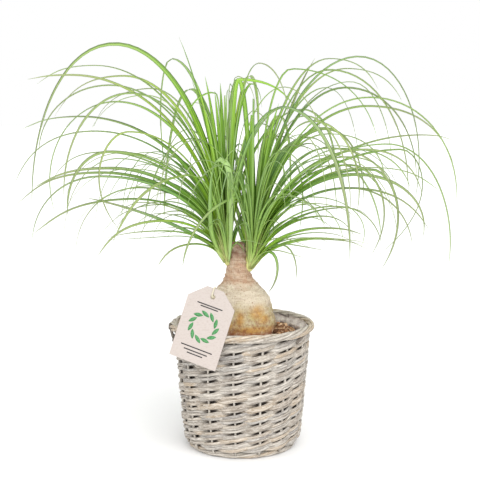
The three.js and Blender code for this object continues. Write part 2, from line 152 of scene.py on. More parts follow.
def roughness_at(points: np.ndarray, size: float, octaves: int = 3) -> np.ndarray:
    """Read a smooth random field at points.

    Args:
        points: Positions, one in each row of the last axis.
        size: Width of the field's largest lumps, in the positions' unit.
        octaves: How many halvings of that width are added.

    Returns:
        Values from about -1 to 1, one for each point.
    """
    values = [noise.fractal(Vector(p), 0.8, 2.0, octaves) for p in points.reshape(-1, 3) / size]
    return np.array(values).reshape(points.shape[:-1])


def waver(place: np.ndarray, row: float, column: float) -> np.ndarray:
    """Read a smooth random run of numbers, of which row and column choose one."""
    return roughness_at(np.stack(np.broadcast_arrays(place, row, column), axis=-1), 1.0, 2)


def through(points: Sequence[Point], steps: int) -> np.ndarray:
    """Lay a smooth line through points, spaced as a centripetal curve.

    Args:
        points: Places that the line passes.
        steps: Number of equal pieces that the whole line is cut into.

    Returns:
        The line's points.
    """
    def partway(a: np.ndarray, b: np.ndarray, t: float, start: float, stop: float) -> np.ndarray:
        """Go from a to b while t goes from start to stop."""
        return a + (b - a) * (t - start) / (stop - start)

    known = np.array(points, float)
    p = np.vstack([2 * known[0] - known[1], known, 2 * known[-1] - known[-2]])
    line = []
    for i in range(1, len(p) - 2):
        gaps = np.sqrt(np.linalg.norm(np.diff(p[i - 1:i + 3], axis=0), axis=1))
        t0, t1, t2, t3 = np.concatenate([[0.0], np.cumsum(gaps)])
        for t in np.linspace(t1, t2, 24, endpoint=False):
            a = partway(p[i - 1], p[i], t, t0, t1)
            b = partway(p[i], p[i + 1], t, t1, t2)
            c = partway(p[i + 1], p[i + 2], t, t2, t3)
            line.append(partway(partway(a, b, t, t0, t2), partway(b, c, t, t1, t3), t, t1, t2))
    return evenly(np.array([*line, known[-1]]), steps)


def bezier(corners: Sequence[Pair], steps: int) -> np.ndarray:
    """Trace a cubic curve by its four corners."""
    t = np.linspace(0, 1, steps + 1)[:, None]
    a, b, c, d = np.array(corners, float)
    return a * (1 - t) ** 3 + 3 * b * t * (1 - t) ** 2 + 3 * c * t ** 2 * (1 - t) + d * t ** 3


# ---- meshes ---------------------------------------------------------------
def rod_section(line: np.ndarray, wide: Numbers, tall: Numbers, outward: np.ndarray,
                sides: int) -> tuple[np.ndarray, np.ndarray]:
    """Sweep an oval along a line.

    Args:
        line: Centre of the rod, one point for each ring.
        wide: Half thickness along the outward direction.
        tall: Half thickness square to it.
        outward: Direction that counts as outward, one for the line or for each ring.
        sides: Points round the oval.

    Returns:
        The rings, and the grain (distance along, place across) at their points.
    """
    forward = directions(line)
    out = unit(outward - forward * np.sum(outward * forward, axis=1, keepdims=True))
    up = np.cross(forward, out)
    x = np.broadcast_to(wide, len(line))[:, None] * np.cos(turns(sides))
    y = np.broadcast_to(tall, len(line))[:, None] * np.sin(turns(sides))
    rings = line[:, None] + x[..., None] * out[:, None] + y[..., None] * up[:, None]
    return rings, np.stack(np.broadcast_arrays(travelled(line)[:, None], x, y), axis=-1)


class Solids:
    """Closed bodies gathered for one mesh, with values kept at their points."""

    def __init__(self) -> None:
        """Start with no bodies."""
        self.points: list[np.ndarray] = []
        self.faces: list[list[int]] = []
        self.values: dict[str, list[np.ndarray]] = {}
        self.count = 0

    def add(self, rings: np.ndarray, closed: bool = False, **values: Numbers) -> None:
        """Skin a row of rings, each joined round on itself, into one closed body.

        Args:
            rings: Points as (ring, place round the ring, xyz), in millimetres.
            closed: Whether the last ring joins the first, as in a hoop.
            **values: One number for the body or for each ring, or a number or triple
                for each point.
        """
        count, sides = rings.shape[:2]
        here = np.arange(count * sides).reshape(count, sides)
        following = np.roll(here, -1, axis=0)
        corners = (here, np.roll(here, -1, axis=1), np.roll(following, -1, axis=1), following)
        last = count if closed else count - 1
        quads = np.stack([corner[:last] for corner in corners], axis=-1).reshape(-1, 4)
        faces = quads.tolist()
        if not closed:
            faces += [here[0][::-1].tolist(), here[-1].tolist()]
        flat = rings.reshape(-1, 3)
        order = -1 if self._inside_out(flat, quads) else 1
        self.faces += [[self.count + corner for corner in face[::order]] for face in faces]
        self.points.append(flat)
        self.count += len(flat)
        for name, value in values.items():
            self._keep(name, np.asarray(value, float), count, sides)

    @staticmethod
    def _inside_out(points: np.ndarray, quads: np.ndarray) -> bool:
        """Tell whether a body's faces point inwards."""
        a, b, c, d = (points[quads[:, k]] - points.mean(axis=0) for k in range(4))
        return np.sum(a * (np.cross(b, c) + np.cross(c, d))) < 0

    def _keep(self, name: str, value: np.ndarray, count: int, sides: int) -> None:
        """Store one named value for the points of the body just added."""
        by_ring = value[:, None] if value.ndim == 1 else value
        shape = (count, sides, 3)[:max(by_ring.ndim, 2)]
        spread = np.broadcast_to(by_ring, shape).reshape(count * sides, -1)
        self.values.setdefault(name, []).append(spread)

    def add_rod(self, line: np.ndarray, wide: Numbers, tall: Numbers, outward: np.ndarray,
                sides: int, grain_from: float = 0.0, closed: bool = False, **values: Numbers) -> None:
        """Sweep an oval along a line into one body that keeps its grain.

        Args:
            line: Centre of the rod, one point for each ring.
            wide: Half thickness along the outward direction.
            tall: Half thickness square to it.
            outward: Direction that counts as outward.
            sides: Points round the oval.
            grain_from: Place in the grain at which the rod starts.
            closed: Whether the rod is a hoop.
            **values: Further values for the body, its rings or its points.
        """
        rings, grain = rod_section(line, wide, tall, outward, sides)
        self.add(rings, closed, grain=grain + [grain_from, 0, 0], **values)

    def to_object(self, name: str, material: Material, smooth: bool = True) -> bpy.types.Object:
        """Turn the gathered bodies into one object in metres.

        Args:
            name: The new object's name.
            material: Its material.
            smooth: Whether the faces are shaded as one round surface.

        Returns:
            The object, linked to the scene.
        """
        mesh = bpy.data.meshes.new(name)
        mesh.from_pydata((np.concatenate(self.points) * MM).tolist(), [], self.faces)
        mesh.polygons.foreach_set("use_smooth", np.full(len(mesh.polygons), smooth))
        for key, parts in self.values.items():
            data = np.concatenate(parts).astype(np.float32)
            kind, part = ("FLOAT_VECTOR", "vector") if data.shape[1] == 3 else ("FLOAT", "value")
            mesh.attributes.new(key, kind, "POINT").data.foreach_set(part, data.ravel())
        mesh.materials.append(material)
        mesh.update()
        piece = bpy.data.objects.new(name, mesh)
        bpy.context.scene.collection.objects.link(piece)
        return piece

    def settle(self, name: str, material: Material, slot: str, *nodes: str) -> bpy.types.Object:
        """Make the gathered bodies a finished piece of the part, and report it.

        Args:
            name: The piece's name.
            material: Its material.
            slot: Name of a material slot; not used.
            *nodes: CAD nodes that it stands for.

        Returns:
            The piece.
        """
        piece = self.to_object(name, material)
        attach(piece, ROOT)
        if nodes:
            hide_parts(*nodes)
        LOG.info("%s: %d faces, stands for %s", name, len(self.faces), ", ".join(nodes) or "nothing")
        return piece


# ---- materials ------------------------------------------------------------
def srgb(*channels: float) -> Colour:
    """Turn a colour as seen on a screen, 0 to 255, into scene values for the bright studio."""
    shares = [channel / 255 for channel in channels]
    return tuple(STUDIO_SHARE * (share / 12.92 if share <= 0.04045 else ((share + 0.055) / 1.055) ** 2.4)
                 for share in shares)


class Recipe:
    """The nodes of one material, wired together by short calls."""

    def __init__(self, name: str, roughness: float, specular: float) -> None:
        """Start a material with one Principled shader.

        Args:
            name: The material's name.
            roughness: Roughness all over the surface.
            specular: Specular level all over the surface.
        """
        self.material = bpy.data.materials.new(name)
        self.material.use_nodes = True
        self.tree = self.material.node_tree
        self.tree.nodes.clear()
        self.shader = self.node("BsdfPrincipled", {"Roughness": roughness, "Specular IOR Level": specular})
        self.output = self.node("OutputMaterial", {"Surface": self.shader.outputs[0]})

    def node(self, kind: str, feeds: dict[Union[int, str], Source], **options: str) -> bpy.types.Node:
        """Add a node.

        Args:
            kind: Blender's name of the node, without its first word.
            feeds: What goes into its sockets, by their name or number.
            **options: Settings of the node itself.

        Returns:
            The node.
        """
        node = self.tree.nodes.new("ShaderNode" + kind)
        for option, value in options.items():
            setattr(node, option, value)
        for socket, source in feeds.items():
            self.feed(node.inputs[socket], source)
        return node

    def feed(self, socket: Socket, source: Source) -> None:
        """Wire a socket to another one, or set its plain value."""
        if isinstance(source, bpy.types.NodeSocket):
            self.tree.links.new(source, socket)
        else:
            socket.default_value = (*source, 1.0) if socket.type == "RGBA" else source

    def place(self) -> Socket:
        """Give the position in the part's frame, in metres."""
        return self.node("TexCoord", {}).outputs["Object"]

    def kept(self, name: str, output: str = "Fac") -> Socket:
        """Give a number kept at the mesh's points, or a triple from the output Vector."""
        return self.node("Attribute", {}, attribute_name=name).outputs[output]

    def split(self, vector: Socket, axis: str) -> Socket:
        """Give one part of a vector."""
        return self.node("SeparateXYZ", {0: vector}).outputs[axis]

    def maths(self, how: str, first: Source, second: Source = 0.0) -> Socket:
        """Join two numbers by a plain operation."""
        return self.node("Math", {0: first, 1: second}, operation=how).outputs[0]

    def noise(self, vector: Socket, scale: float, detail: float = 3.0, rough: float = 0.55,
              stretch: Point = (1.0, 1.0, 1.0)) -> Socket:
        """Give soft random spots.

        Args:
            vector: Place in the pattern.
            scale: Spots in one unit of the place.
            detail: Number of finer layers.
            rough: How strong the finer layers are.
            stretch: How many times closer the spots lie along each axis.

        Returns:
            A value from about 0.2 to 0.8.
        """
        at = self.node("VectorMath", {0: vector, 1: stretch}, operation="MULTIPLY").outputs[0]
        feeds = {"Vector": at, "Scale": scale, "Detail": detail, "Roughness": rough}
        return self.node("TexNoise", feeds).outputs["Fac"]

    def ramp(self, value: Source, *stops: tuple[float, Union[float, Colour]]) -> Socket:
        """Turn a value into a colour or a grey.

        Args:
            value: What is looked up.
            *stops: Positions with their colours, or greys as single numbers.

        Returns:
            The colour found.
        """
        node = self.node("ValToRGB", {"Fac": value})
        elements = node.color_ramp.elements
        while len(elements) < len(stops):
            elements.new(0.5)
        for element, (at, shade) in zip(elements, stops):
            element.position = at
            element.color = (*(shade if isinstance(shade, tuple) else (shade,) * 3), 1.0)
        return node.outputs["Color"]

    def mix(self, share: Source, first: Source, second: Source) -> Socket:
        """Go from the first colour to the second as the share goes from 0 to 1."""
        return self.node("Mix", {0: share, 6: first, 7: second}, data_type="RGBA").outputs[2]

    def layer(self, below: Source, above: Colour, value: Source, *stops: Pair) -> Socket:
        """Lay a colour over another one.

        Args:
            below: What is covered.
            above: Colour that is laid over it.
            value: Pattern that says where.
            *stops: Values of the pattern, each with how much is covered there.

        Returns:
            The mixed colour.
        """
        return self.mix(self.ramp(value, *stops), below, above)

    def finished(self, colour: Source, height: Source = 0.0, depth: float = 0.0) -> Material:
        """Give the shader its colour and relief.

        Args:
            colour: The surface's colour.
            height: Pattern that raises the surface.
            depth: Real height of that pattern from 0 to 1, in millimetres.

        Returns:
            The material.
        """
        self.feed(self.shader.inputs["Base Color"], colour)
        if depth:
            bump = self.node("Bump", {"Distance": depth * MM, "Height": height})
            self.feed(self.shader.inputs["Normal"], bump.outputs[0])
        return self.material

    def glowing(self, colour: Source, share: float) -> None:
        """Let light through the surface.

        Args:
            colour: Colour of the light that comes through.
            share: How much of the surface's light that is.
        """
        glow = self.node("BsdfTranslucent", {"Color": colour})
        both = self.node("MixShader", {0: share, 1: self.shader.outputs[0], 2: glow.outputs[0]})
        self.feed(self.output.inputs["Surface"], both.outputs[0])


@dataclass(frozen=True)
class WillowFinish:
    """Peeled willow with a worn grey wash, streaked along each rod, with painted shade where rods lie deep
    in the weave.
    """

    shades: tuple[Colour, ...] = (
        srgb(176, 166, 154), srgb(214, 205, 192), srgb(190, 186, 180),
        srgb(218, 198, 172), srgb(172, 168, 164), srgb(222, 214, 202),
    )
    streak: Colour = srgb(104, 90, 78)
    wash: Colour = srgb(238, 230, 218)
    flake: Colour = srgb(246, 241, 232)
    # painted shade: dark brown laid on by each rod's depth value, standing in for shadow in the gaps of the
    # weave
    painted_recess_shade: Colour = srgb(68, 56, 48)
    fibre_depth: float = 0.12

    def material(self) -> Material:
        """Build the material from the rods' grain and tone, with painted shade set by their depth value."""
        recipe = Recipe("grey_washed_willow", roughness=0.78, specular=0.25)
        grain = recipe.kept("grain", "Vector")
        shades = [(k / (len(self.shades) - 1), shade) for k, shade in enumerate(self.shades)]
        fibres = recipe.noise(grain, 1.3, 5.0, 0.65, (0.05, 1.5, 1.5))
        flakes = recipe.noise(grain, 1.0, 4.0, 0.7, (0.3, 1.6, 1.6))
        worn = recipe.noise(grain, 1.0, stretch=(0.11, 0.5, 0.5))
        colour = recipe.ramp(recipe.kept("tone"), *shades)
        colour = recipe.layer(colour, self.streak, fibres, (0.36, 0.9), (0.5, 0.25), (0.6, 0.0))
        colour = recipe.layer(colour, self.flake, flakes, (0.52, 0.0), (0.66, 0.75))
        colour = recipe.layer(colour, self.wash, worn, (0.5, 0.0), (0.68, 0.6))
        # painted shade: rods with a higher depth value are darkened, as though in shadow
        colour = recipe.layer(colour, self.painted_recess_shade, recipe.kept("depth"), (0.24, 0.0), (0.88, 0.9))
        return recipe.finished(colour, fibres, self.fibre_depth)


@dataclass(frozen=True)
class LeafFinish:
    """Strap leaves: pale and yellow at the base, green over the arch, greyer below."""

    base: Colour = srgb(255, 255, 172)
    young: Colour = srgb(202, 242, 58)
    green: Colour = srgb(172, 226, 84)
    deep: Colour = srgb(128, 186, 68)
    blue: Colour = srgb(152, 204, 134)
    edge: Colour = srgb(58, 104, 22)
    tip: Colour = srgb(186, 186, 150)
    under: Colour = srgb(208, 248, 152)
    vein_depth: float = 0.12
    translucent: float = 0.22

    def material(self) -> Material:
        """Build the material from each blade's span and tone."""
        recipe = Recipe("palm_leaf", roughness=0.36, specular=0.28)
        span = recipe.kept("span", "Vector")
        length = recipe.split(span, "X")
        from_rib = recipe.maths("ABSOLUTE", recipe.split(span, "Y"))
        veins = recipe.noise(span, 1.0, stretch=(1.2, 5.0, 40.0))
        colour = recipe.ramp(recipe.kept("tone"), (0.0, self.young), (0.3, self.green),
                             (0.66, self.deep), (0.82, self.deep), (1.0, self.blue))
        colour = recipe.layer(colour, self.young, length, (0.0, 0.9), (0.12, 0.7), (0.34, 0.0))
        colour = recipe.layer(colour, self.tip, length, (0.3, 0.0), (0.8, 0.85))
        colour = recipe.mix(recipe.kept("pale"), colour, self.tip)
        colour = recipe.layer(colour, self.edge, veins, (0.3, 0.75), (0.5, 0.0))
        colour = recipe.layer(colour, self.under, veins, (0.5, 0.0), (0.72, 0.7))
        # pale stripe along the rib and dark margins: partly the leaves' own colour, partly a painted
        # highlight along the channel and painted shade at the edges
        colour = recipe.layer(colour, self.young, from_rib, (0.0, 0.3), (0.22, 0.0))
        colour = recipe.layer(colour, self.edge, from_rib, (0.6, 0.0), (1.0, 0.6))
        colour = recipe.layer(colour, self.base, length, (0.0, 1.0), (0.05, 0.85), (0.13, 0.0))
        colour = recipe.layer(colour, self.under, recipe.kept("under"), (0.4, 0.0), (0.6, 0.55))
        recipe.glowing(colour, self.translucent)
        return recipe.finished(colour, veins, self.vein_depth)


@dataclass(frozen=True)
class BarkFinish:
    """Corky bark: brown at the cut neck, peach below, cream and ochre on the swelling."""

    soil_line: Colour = srgb(150, 92, 60)
    olive: Colour = srgb(206, 192, 142)
    cream: Colour = srgb(236, 222, 200)
    peach: Colour = srgb(208, 172, 145)
    brown: Colour = srgb(142, 110, 92)
    ochre: Colour = srgb(214, 162, 84)
    crack: Colour = srgb(150, 112, 80)
    band_wander: float = 0.16
    crack_depth: float = 0.5

    def material(self) -> Material:
        """Build the material from height, rings and the stains kept at the points."""
        recipe = Recipe("palm_bark", roughness=0.82, specular=0.22)
        place, height = recipe.place(), recipe.kept("height")
        blotch = recipe.noise(place, 160.0, 4.0, 0.65)
        rings = recipe.noise(place, 80.0, stretch=(1.0, 1.0, 9.0))
        fibres = recipe.noise(place, 900.0, 4.0, stretch=(1.0, 1.0, 0.16))
        mottle = recipe.noise(place, 240.0, 4.0, 0.7)
        speck = recipe.noise(place, 900.0, 2.0)
        wander = recipe.maths("SUBTRACT", recipe.noise(place, 90.0), 0.5)
        level = recipe.maths("ADD", height, recipe.maths("MULTIPLY", wander, self.band_wander))
        colour = recipe.ramp(level, (0.14, self.soil_line), (0.22, self.olive), (0.33, self.olive),
                             (0.45, self.cream), (0.55, self.cream), (0.62, self.peach),
                             (0.80, self.peach), (0.90, self.brown))
        colour = recipe.layer(colour, self.cream, blotch, (0.40, 0.0), (0.66, 0.55))
        patchy = recipe.ramp(blotch, (0.25, 1.0), (0.75, 0.55))
        colour = recipe.mix(recipe.maths("MULTIPLY", recipe.kept("stain"), patchy), colour, self.ochre)
        upper = recipe.ramp(height, (0.40, 0.12), (0.62, 0.4))
        ringed = recipe.maths("MULTIPLY", recipe.ramp(rings, (0.38, 1.0), (0.52, 0.0)), upper)
        colour = recipe.mix(ringed, colour, self.crack)
        colour = recipe.layer(colour, self.crack, fibres, (0.31, 0.7), (0.45, 0.0))
        lower = recipe.ramp(height, (0.14, 1.0), (0.24, 0.6), (0.44, 0.1))
        mottled = recipe.maths("MULTIPLY", lower, recipe.ramp(mottle, (0.46, 0.0), (0.6, 0.85)))
        colour = recipe.mix(mottled, colour, self.soil_line)
        colour = recipe.layer(colour, self.brown, speck, (0.28, 0.4), (0.42, 0.0))
        relief = recipe.maths("ADD", rings, recipe.maths("ADD", fibres, speck))
        return recipe.finished(colour, relief, self.crack_depth)


@dataclass(frozen=True)
class SoilFinish:
    """Crumbly potting soil with tan bits of bark and coir."""

    dark: Colour = srgb(92, 62, 42)
    brown: Colour = srgb(194, 142, 102)
    tan: Colour = srgb(250, 216, 176)
    crumb_depth: float = 1.0

    def material(self) -> Material:
        """Build the material from each crumb's tone."""
        recipe = Recipe("potting_soil", roughness=0.95, specular=0.15)
        crumbs = recipe.noise(recipe.place(), 700.0, 4.0, 0.7)
        colour = recipe.ramp(recipe.kept("tone"), (0.0, self.dark), (0.55, self.brown), (1.0, self.tan))
        colour = recipe.layer(colour, self.dark, crumbs, (0.35, 0.7), (0.55, 0.0))
        return recipe.finished(colour, crumbs, self.crumb_depth)


@dataclass(frozen=True)
class FilmFinish:
    """Thin whitish lining film, shiny on its creases."""

    pale: Colour = srgb(234, 222, 214)
    dull: Colour = srgb(166, 150, 142)
    # painted shade: below the set height the film takes this dark colour, standing in for shadow behind the
    # wall
    shaded: Colour = srgb(84, 74, 68)
    painted_shade_below: float = 108.0
    crease_depth: float = 2.4

    def material(self) -> Material:
        """Build the material with soft smears and fine creases, and painted shade below the soil, where the
        film lies behind the wall.
        """
        recipe = Recipe("lining_film", roughness=0.36, specular=0.5)
        place = recipe.place()
        colour = recipe.layer(self.pale, self.dull, recipe.noise(place, 90.0), (0.36, 0.9), (0.62, 0.0))
        # painted shade: the film below the set height is coloured dark, as though in shadow
        low = recipe.maths("LESS_THAN", recipe.split(place, "Z"), self.painted_shade_below * MM)
        creases = recipe.noise(place, 260.0, stretch=(1.0, 1.0, 0.6))
        return recipe.finished(recipe.mix(low, colour, self.shaded), creases, self.crease_depth)


@dataclass(frozen=True)
class CardFinish:
    """Uncoated card with a faint fibre."""

    face: Colour = srgb(210, 199, 192)
    fibre: Colour = srgb(190, 175, 166)
    fibre_depth: float = 0.08

    def material(self) -> Material:
        """Build the material with flecks of fibre."""
        recipe = Recipe("tag_card", roughness=0.8, specular=0.25)
        flecks = recipe.noise(recipe.place(), 420.0, 4.0, 0.6, (1.0, 1.0, 2.5))
        colour = recipe.layer(self.face, self.fibre, flecks, (0.34, 0.45), (0.5, 0.0))
        return recipe.finished(colour, flecks, self.fibre_depth)


@dataclass(frozen=True)
class InkFinish:
    """Flat printing ink that lets a little of the card through."""

    name: str
    ink: Colour
    worn: Colour

    def material(self) -> Material:
        """Build the material with slightly uneven ink."""
        recipe = Recipe(self.name, roughness=0.7, specular=0.3)
        patchy = recipe.noise(recipe.place(), 900.0)
        return recipe.finished(recipe.layer(self.ink, self.worn, patchy, (0.42, 0.0), (0.7, 0.5)))


@dataclass(frozen=True)
class CottonFinish:
    """Twisted cream cotton."""

    light: Colour = srgb(240, 232, 208)
    shade: Colour = srgb(196, 180, 146)
    fibre_depth: float = 0.15

    def material(self) -> Material:
        """Build the material with painted shade in the grooves between the plies, and fine fibres along the
        ply.
        """
        recipe = Recipe("cream_cotton", roughness=0.9, specular=0.2)
        fibres = recipe.noise(recipe.kept("grain", "Vector"), 1.6, stretch=(1.0, 4.0, 4.0))
        # painted shade: the grooves between the plies take the shade colour, as though in shadow; the same
        # colour also marks the fibres
        colour = recipe.layer(self.light, self.shade, recipe.kept("groove"), (0.0, 1.0), (0.6, 0.0))
        colour = recipe.layer(colour, self.shade, fibres, (0.3, 0.4), (0.5, 0.0))
        return recipe.finished(colour, fibres, self.fibre_depth)


@dataclass(frozen=True)
class FloorFinish:
    """Plain pale studio floor."""

    pale: Colour = (0.90, 0.90, 0.90)
    patch: Colour = (0.88, 0.88, 0.88)

    def material(self) -> Material:
        """Build the material with a barely seen cloudiness."""
        recipe = Recipe("studio_floor", roughness=1.0, specular=0.0)
        cloud = recipe.noise(recipe.place(), 3.0, 2.0)
        return recipe.finished(recipe.mix(cloud, self.pale, self.patch))


# ---- studio ---------------------------------------------------------------
@dataclass(frozen=True)
class Lamp:
    """One far, wide lamp: strength, width as seen from the part, tilt and turn."""

    name: str
    energy: float
    size: float
    tilt: float
    turn: float

    def hang(self) -> None:
        """Add the lamp to the scene."""
        lamp = bpy.data.lights.new(self.name, "SUN")
        lamp.energy = self.energy
        lamp.angle = math.radians(self.size)
        holder = bpy.data.objects.new(self.name, lamp)
        holder.rotation_euler = (math.radians(self.tilt), 0.0, math.radians(self.turn))
        bpy.context.scene.collection.objects.link(holder)


@dataclass
class Studio:
    """The camera at the photo's viewing angle, soft light and a pale floor."""

    camera_at: Point = (-2.0, -1100.0, 357.0)
    look_down: float = 7.8
    lens: float = 84.375
    sensor: float = 36.0
    sky: float = 1.0
    lamps: tuple[Lamp, ...] = (
        Lamp("window", energy=1.3, size=40.0, tilt=42.0, turn=24.0),
        Lamp("front_fill", energy=1.6, size=50.0, tilt=78.0, turn=-8.0),
    )
    floor_radius: float = 9000.0
    floor_bottom: float = -20.0
    floor_top: float = -0.05

    def camera(self) -> None:
        """Place the camera and make it the scene's."""
        scene = bpy.context.scene
        data = bpy.data.cameras.new("view")
        data.lens = self.lens
        data.sensor_width = self.sensor
        data.sensor_fit = "HORIZONTAL"
        data.clip_end = 100.0
        camera = bpy.data.objects.new("view", data)
        camera.location = Vector(self.camera_at) * MM
        camera.rotation_euler = (math.radians(90 - self.look_down), 0.0, 0.0)
        scene.collection.objects.link(camera)
        scene.camera = camera
        scene.view_settings.view_transform = "Standard"

    def light(self) -> None:
        """Light the part evenly from all round, and a little more from the front."""
        world = bpy.data.worlds.new("soft_room")
        world.use_nodes = True
        background = world.node_tree.nodes["Background"]
        background.inputs["Color"].default_value = (1.0, 1.0, 1.0, 1.0)
        background.inputs["Strength"].default_value = self.sky
        bpy.context.scene.world = world
        for lamp in self.lamps:
            lamp.hang()

    def floor(self) -> None:
        """Lay a wide round floor just under the basket."""
        floor = Solids()
        faces = [about_axis(self.floor_radius, turns(96), z) for z in (self.floor_bottom, self.floor_top)]
        floor.add(np.stack(faces))
        floor.to_object("studio_floor", FloorFinish().material(), smooth=False)


# ---- basket ---------------------------------------------------------------
class RodKind(Enum):
    """How many rods lie side by side in a strand, and each one's share of its height."""

    SINGLE = (1, 0.8)
    DOUBLE = (2, 0.52)
    TRIPLE = (3, 0.37)


@dataclass(frozen=True)
class Border:
    """Strands of willow twisted round a core into a hoop.

    The ring is the middle line's radius, the offset is each strand's distance from that
    line, the rod is half a strand's thickness, the twists are how often a strand goes
    round the line, and nothing reaches below low.
    """

    ring: float
    height: float
    offset: float
    rod: float
    twists: int
    strands: int
    low: float
    joints_at: float = 222.0
    overlap: float = 0.02
    # painted shade: how dark the core is coloured, standing in for shadow in the grooves between the strands
    core_painted_shade: float = 0.8

    def build(self, solids: Solids, random: Random) -> None:
        """Build the core and its strands.

        Args:
            solids: Where they go.
            random: Source of the small differences.
        """
        angle = turns(160)
        core = self.offset - 0.1 * self.rod
        # painted shade: the core is darkened so the grooves between the strands look shadowed
        solids.add_rod(about_axis(self.ring, angle, self.height), core, min(core, self.height - self.low),
                       about_axis(1.0, angle, 0.0), 12, closed=True, tone=0.5, depth=self.core_painted_shade)
        for strand in range(self.strands):
            start = math.radians(self.joints_at) - 0.5 * strand + between(random, -0.2, 0.2)
            share = np.linspace(0, 1, 330)
            angle = start + share * TAU * (1 + self.overlap)
            phase = self.twists * angle + strand * TAU / self.strands
            wander = waver(angle * 1.7, strand * 5.1 + self.ring, 0.4)
            fat = self.rod * (1 + 0.16 * wander) * (0.35 + 0.65 * faded(share, 0.025))
            reach = self.offset * (1 + 0.15 * wander)
            z = np.maximum(self.height + reach * np.sin(phase), self.low + fat)
            line = about_axis(self.ring + reach * np.cos(phase), angle, z)
            solids.add_rod(line, fat, fat, about_axis(1.0, angle, 0.0), 12, grain_from=random() * 700,
                           tone=0.2 + 0.4 * int(random() * 3), depth=0.0)


@dataclass(frozen=True)
class Stub:
    """A cut rod end that stands out of the weave.

    The angle it faces, its distance from the axis and its height are those of its
    middle. The rise is how steeply it climbs, and thick is half its thickness.
    """

    facing: float
    reach: float
    height: float
    length: float
    rise: float
    thick: float

    def build(self, solids: Solids) -> None:
        """Build the rod end."""
        turn, rise = math.radians(self.facing), math.radians(self.rise)
        level = about_axis(1.0, turn + TAU / 4, 0.0)
        heading = level * math.cos(rise) + np.array(UP) * math.sin(rise)
        steps = np.linspace(-0.5, 0.5, 9)[:, None] * self.length
        fat = np.array([self.thick] * 8 + [self.thick * 0.85])
        # painted shade: the rod ends are darkened, as though in shadow under the rim
        solids.add_rod(about_axis(self.reach, turn, self.height) + heading * steps, fat, fat,
                       about_axis(1.0, turn, 0.0), 10, grain_from=self.facing * 3, tone=0.1, depth=0.72)


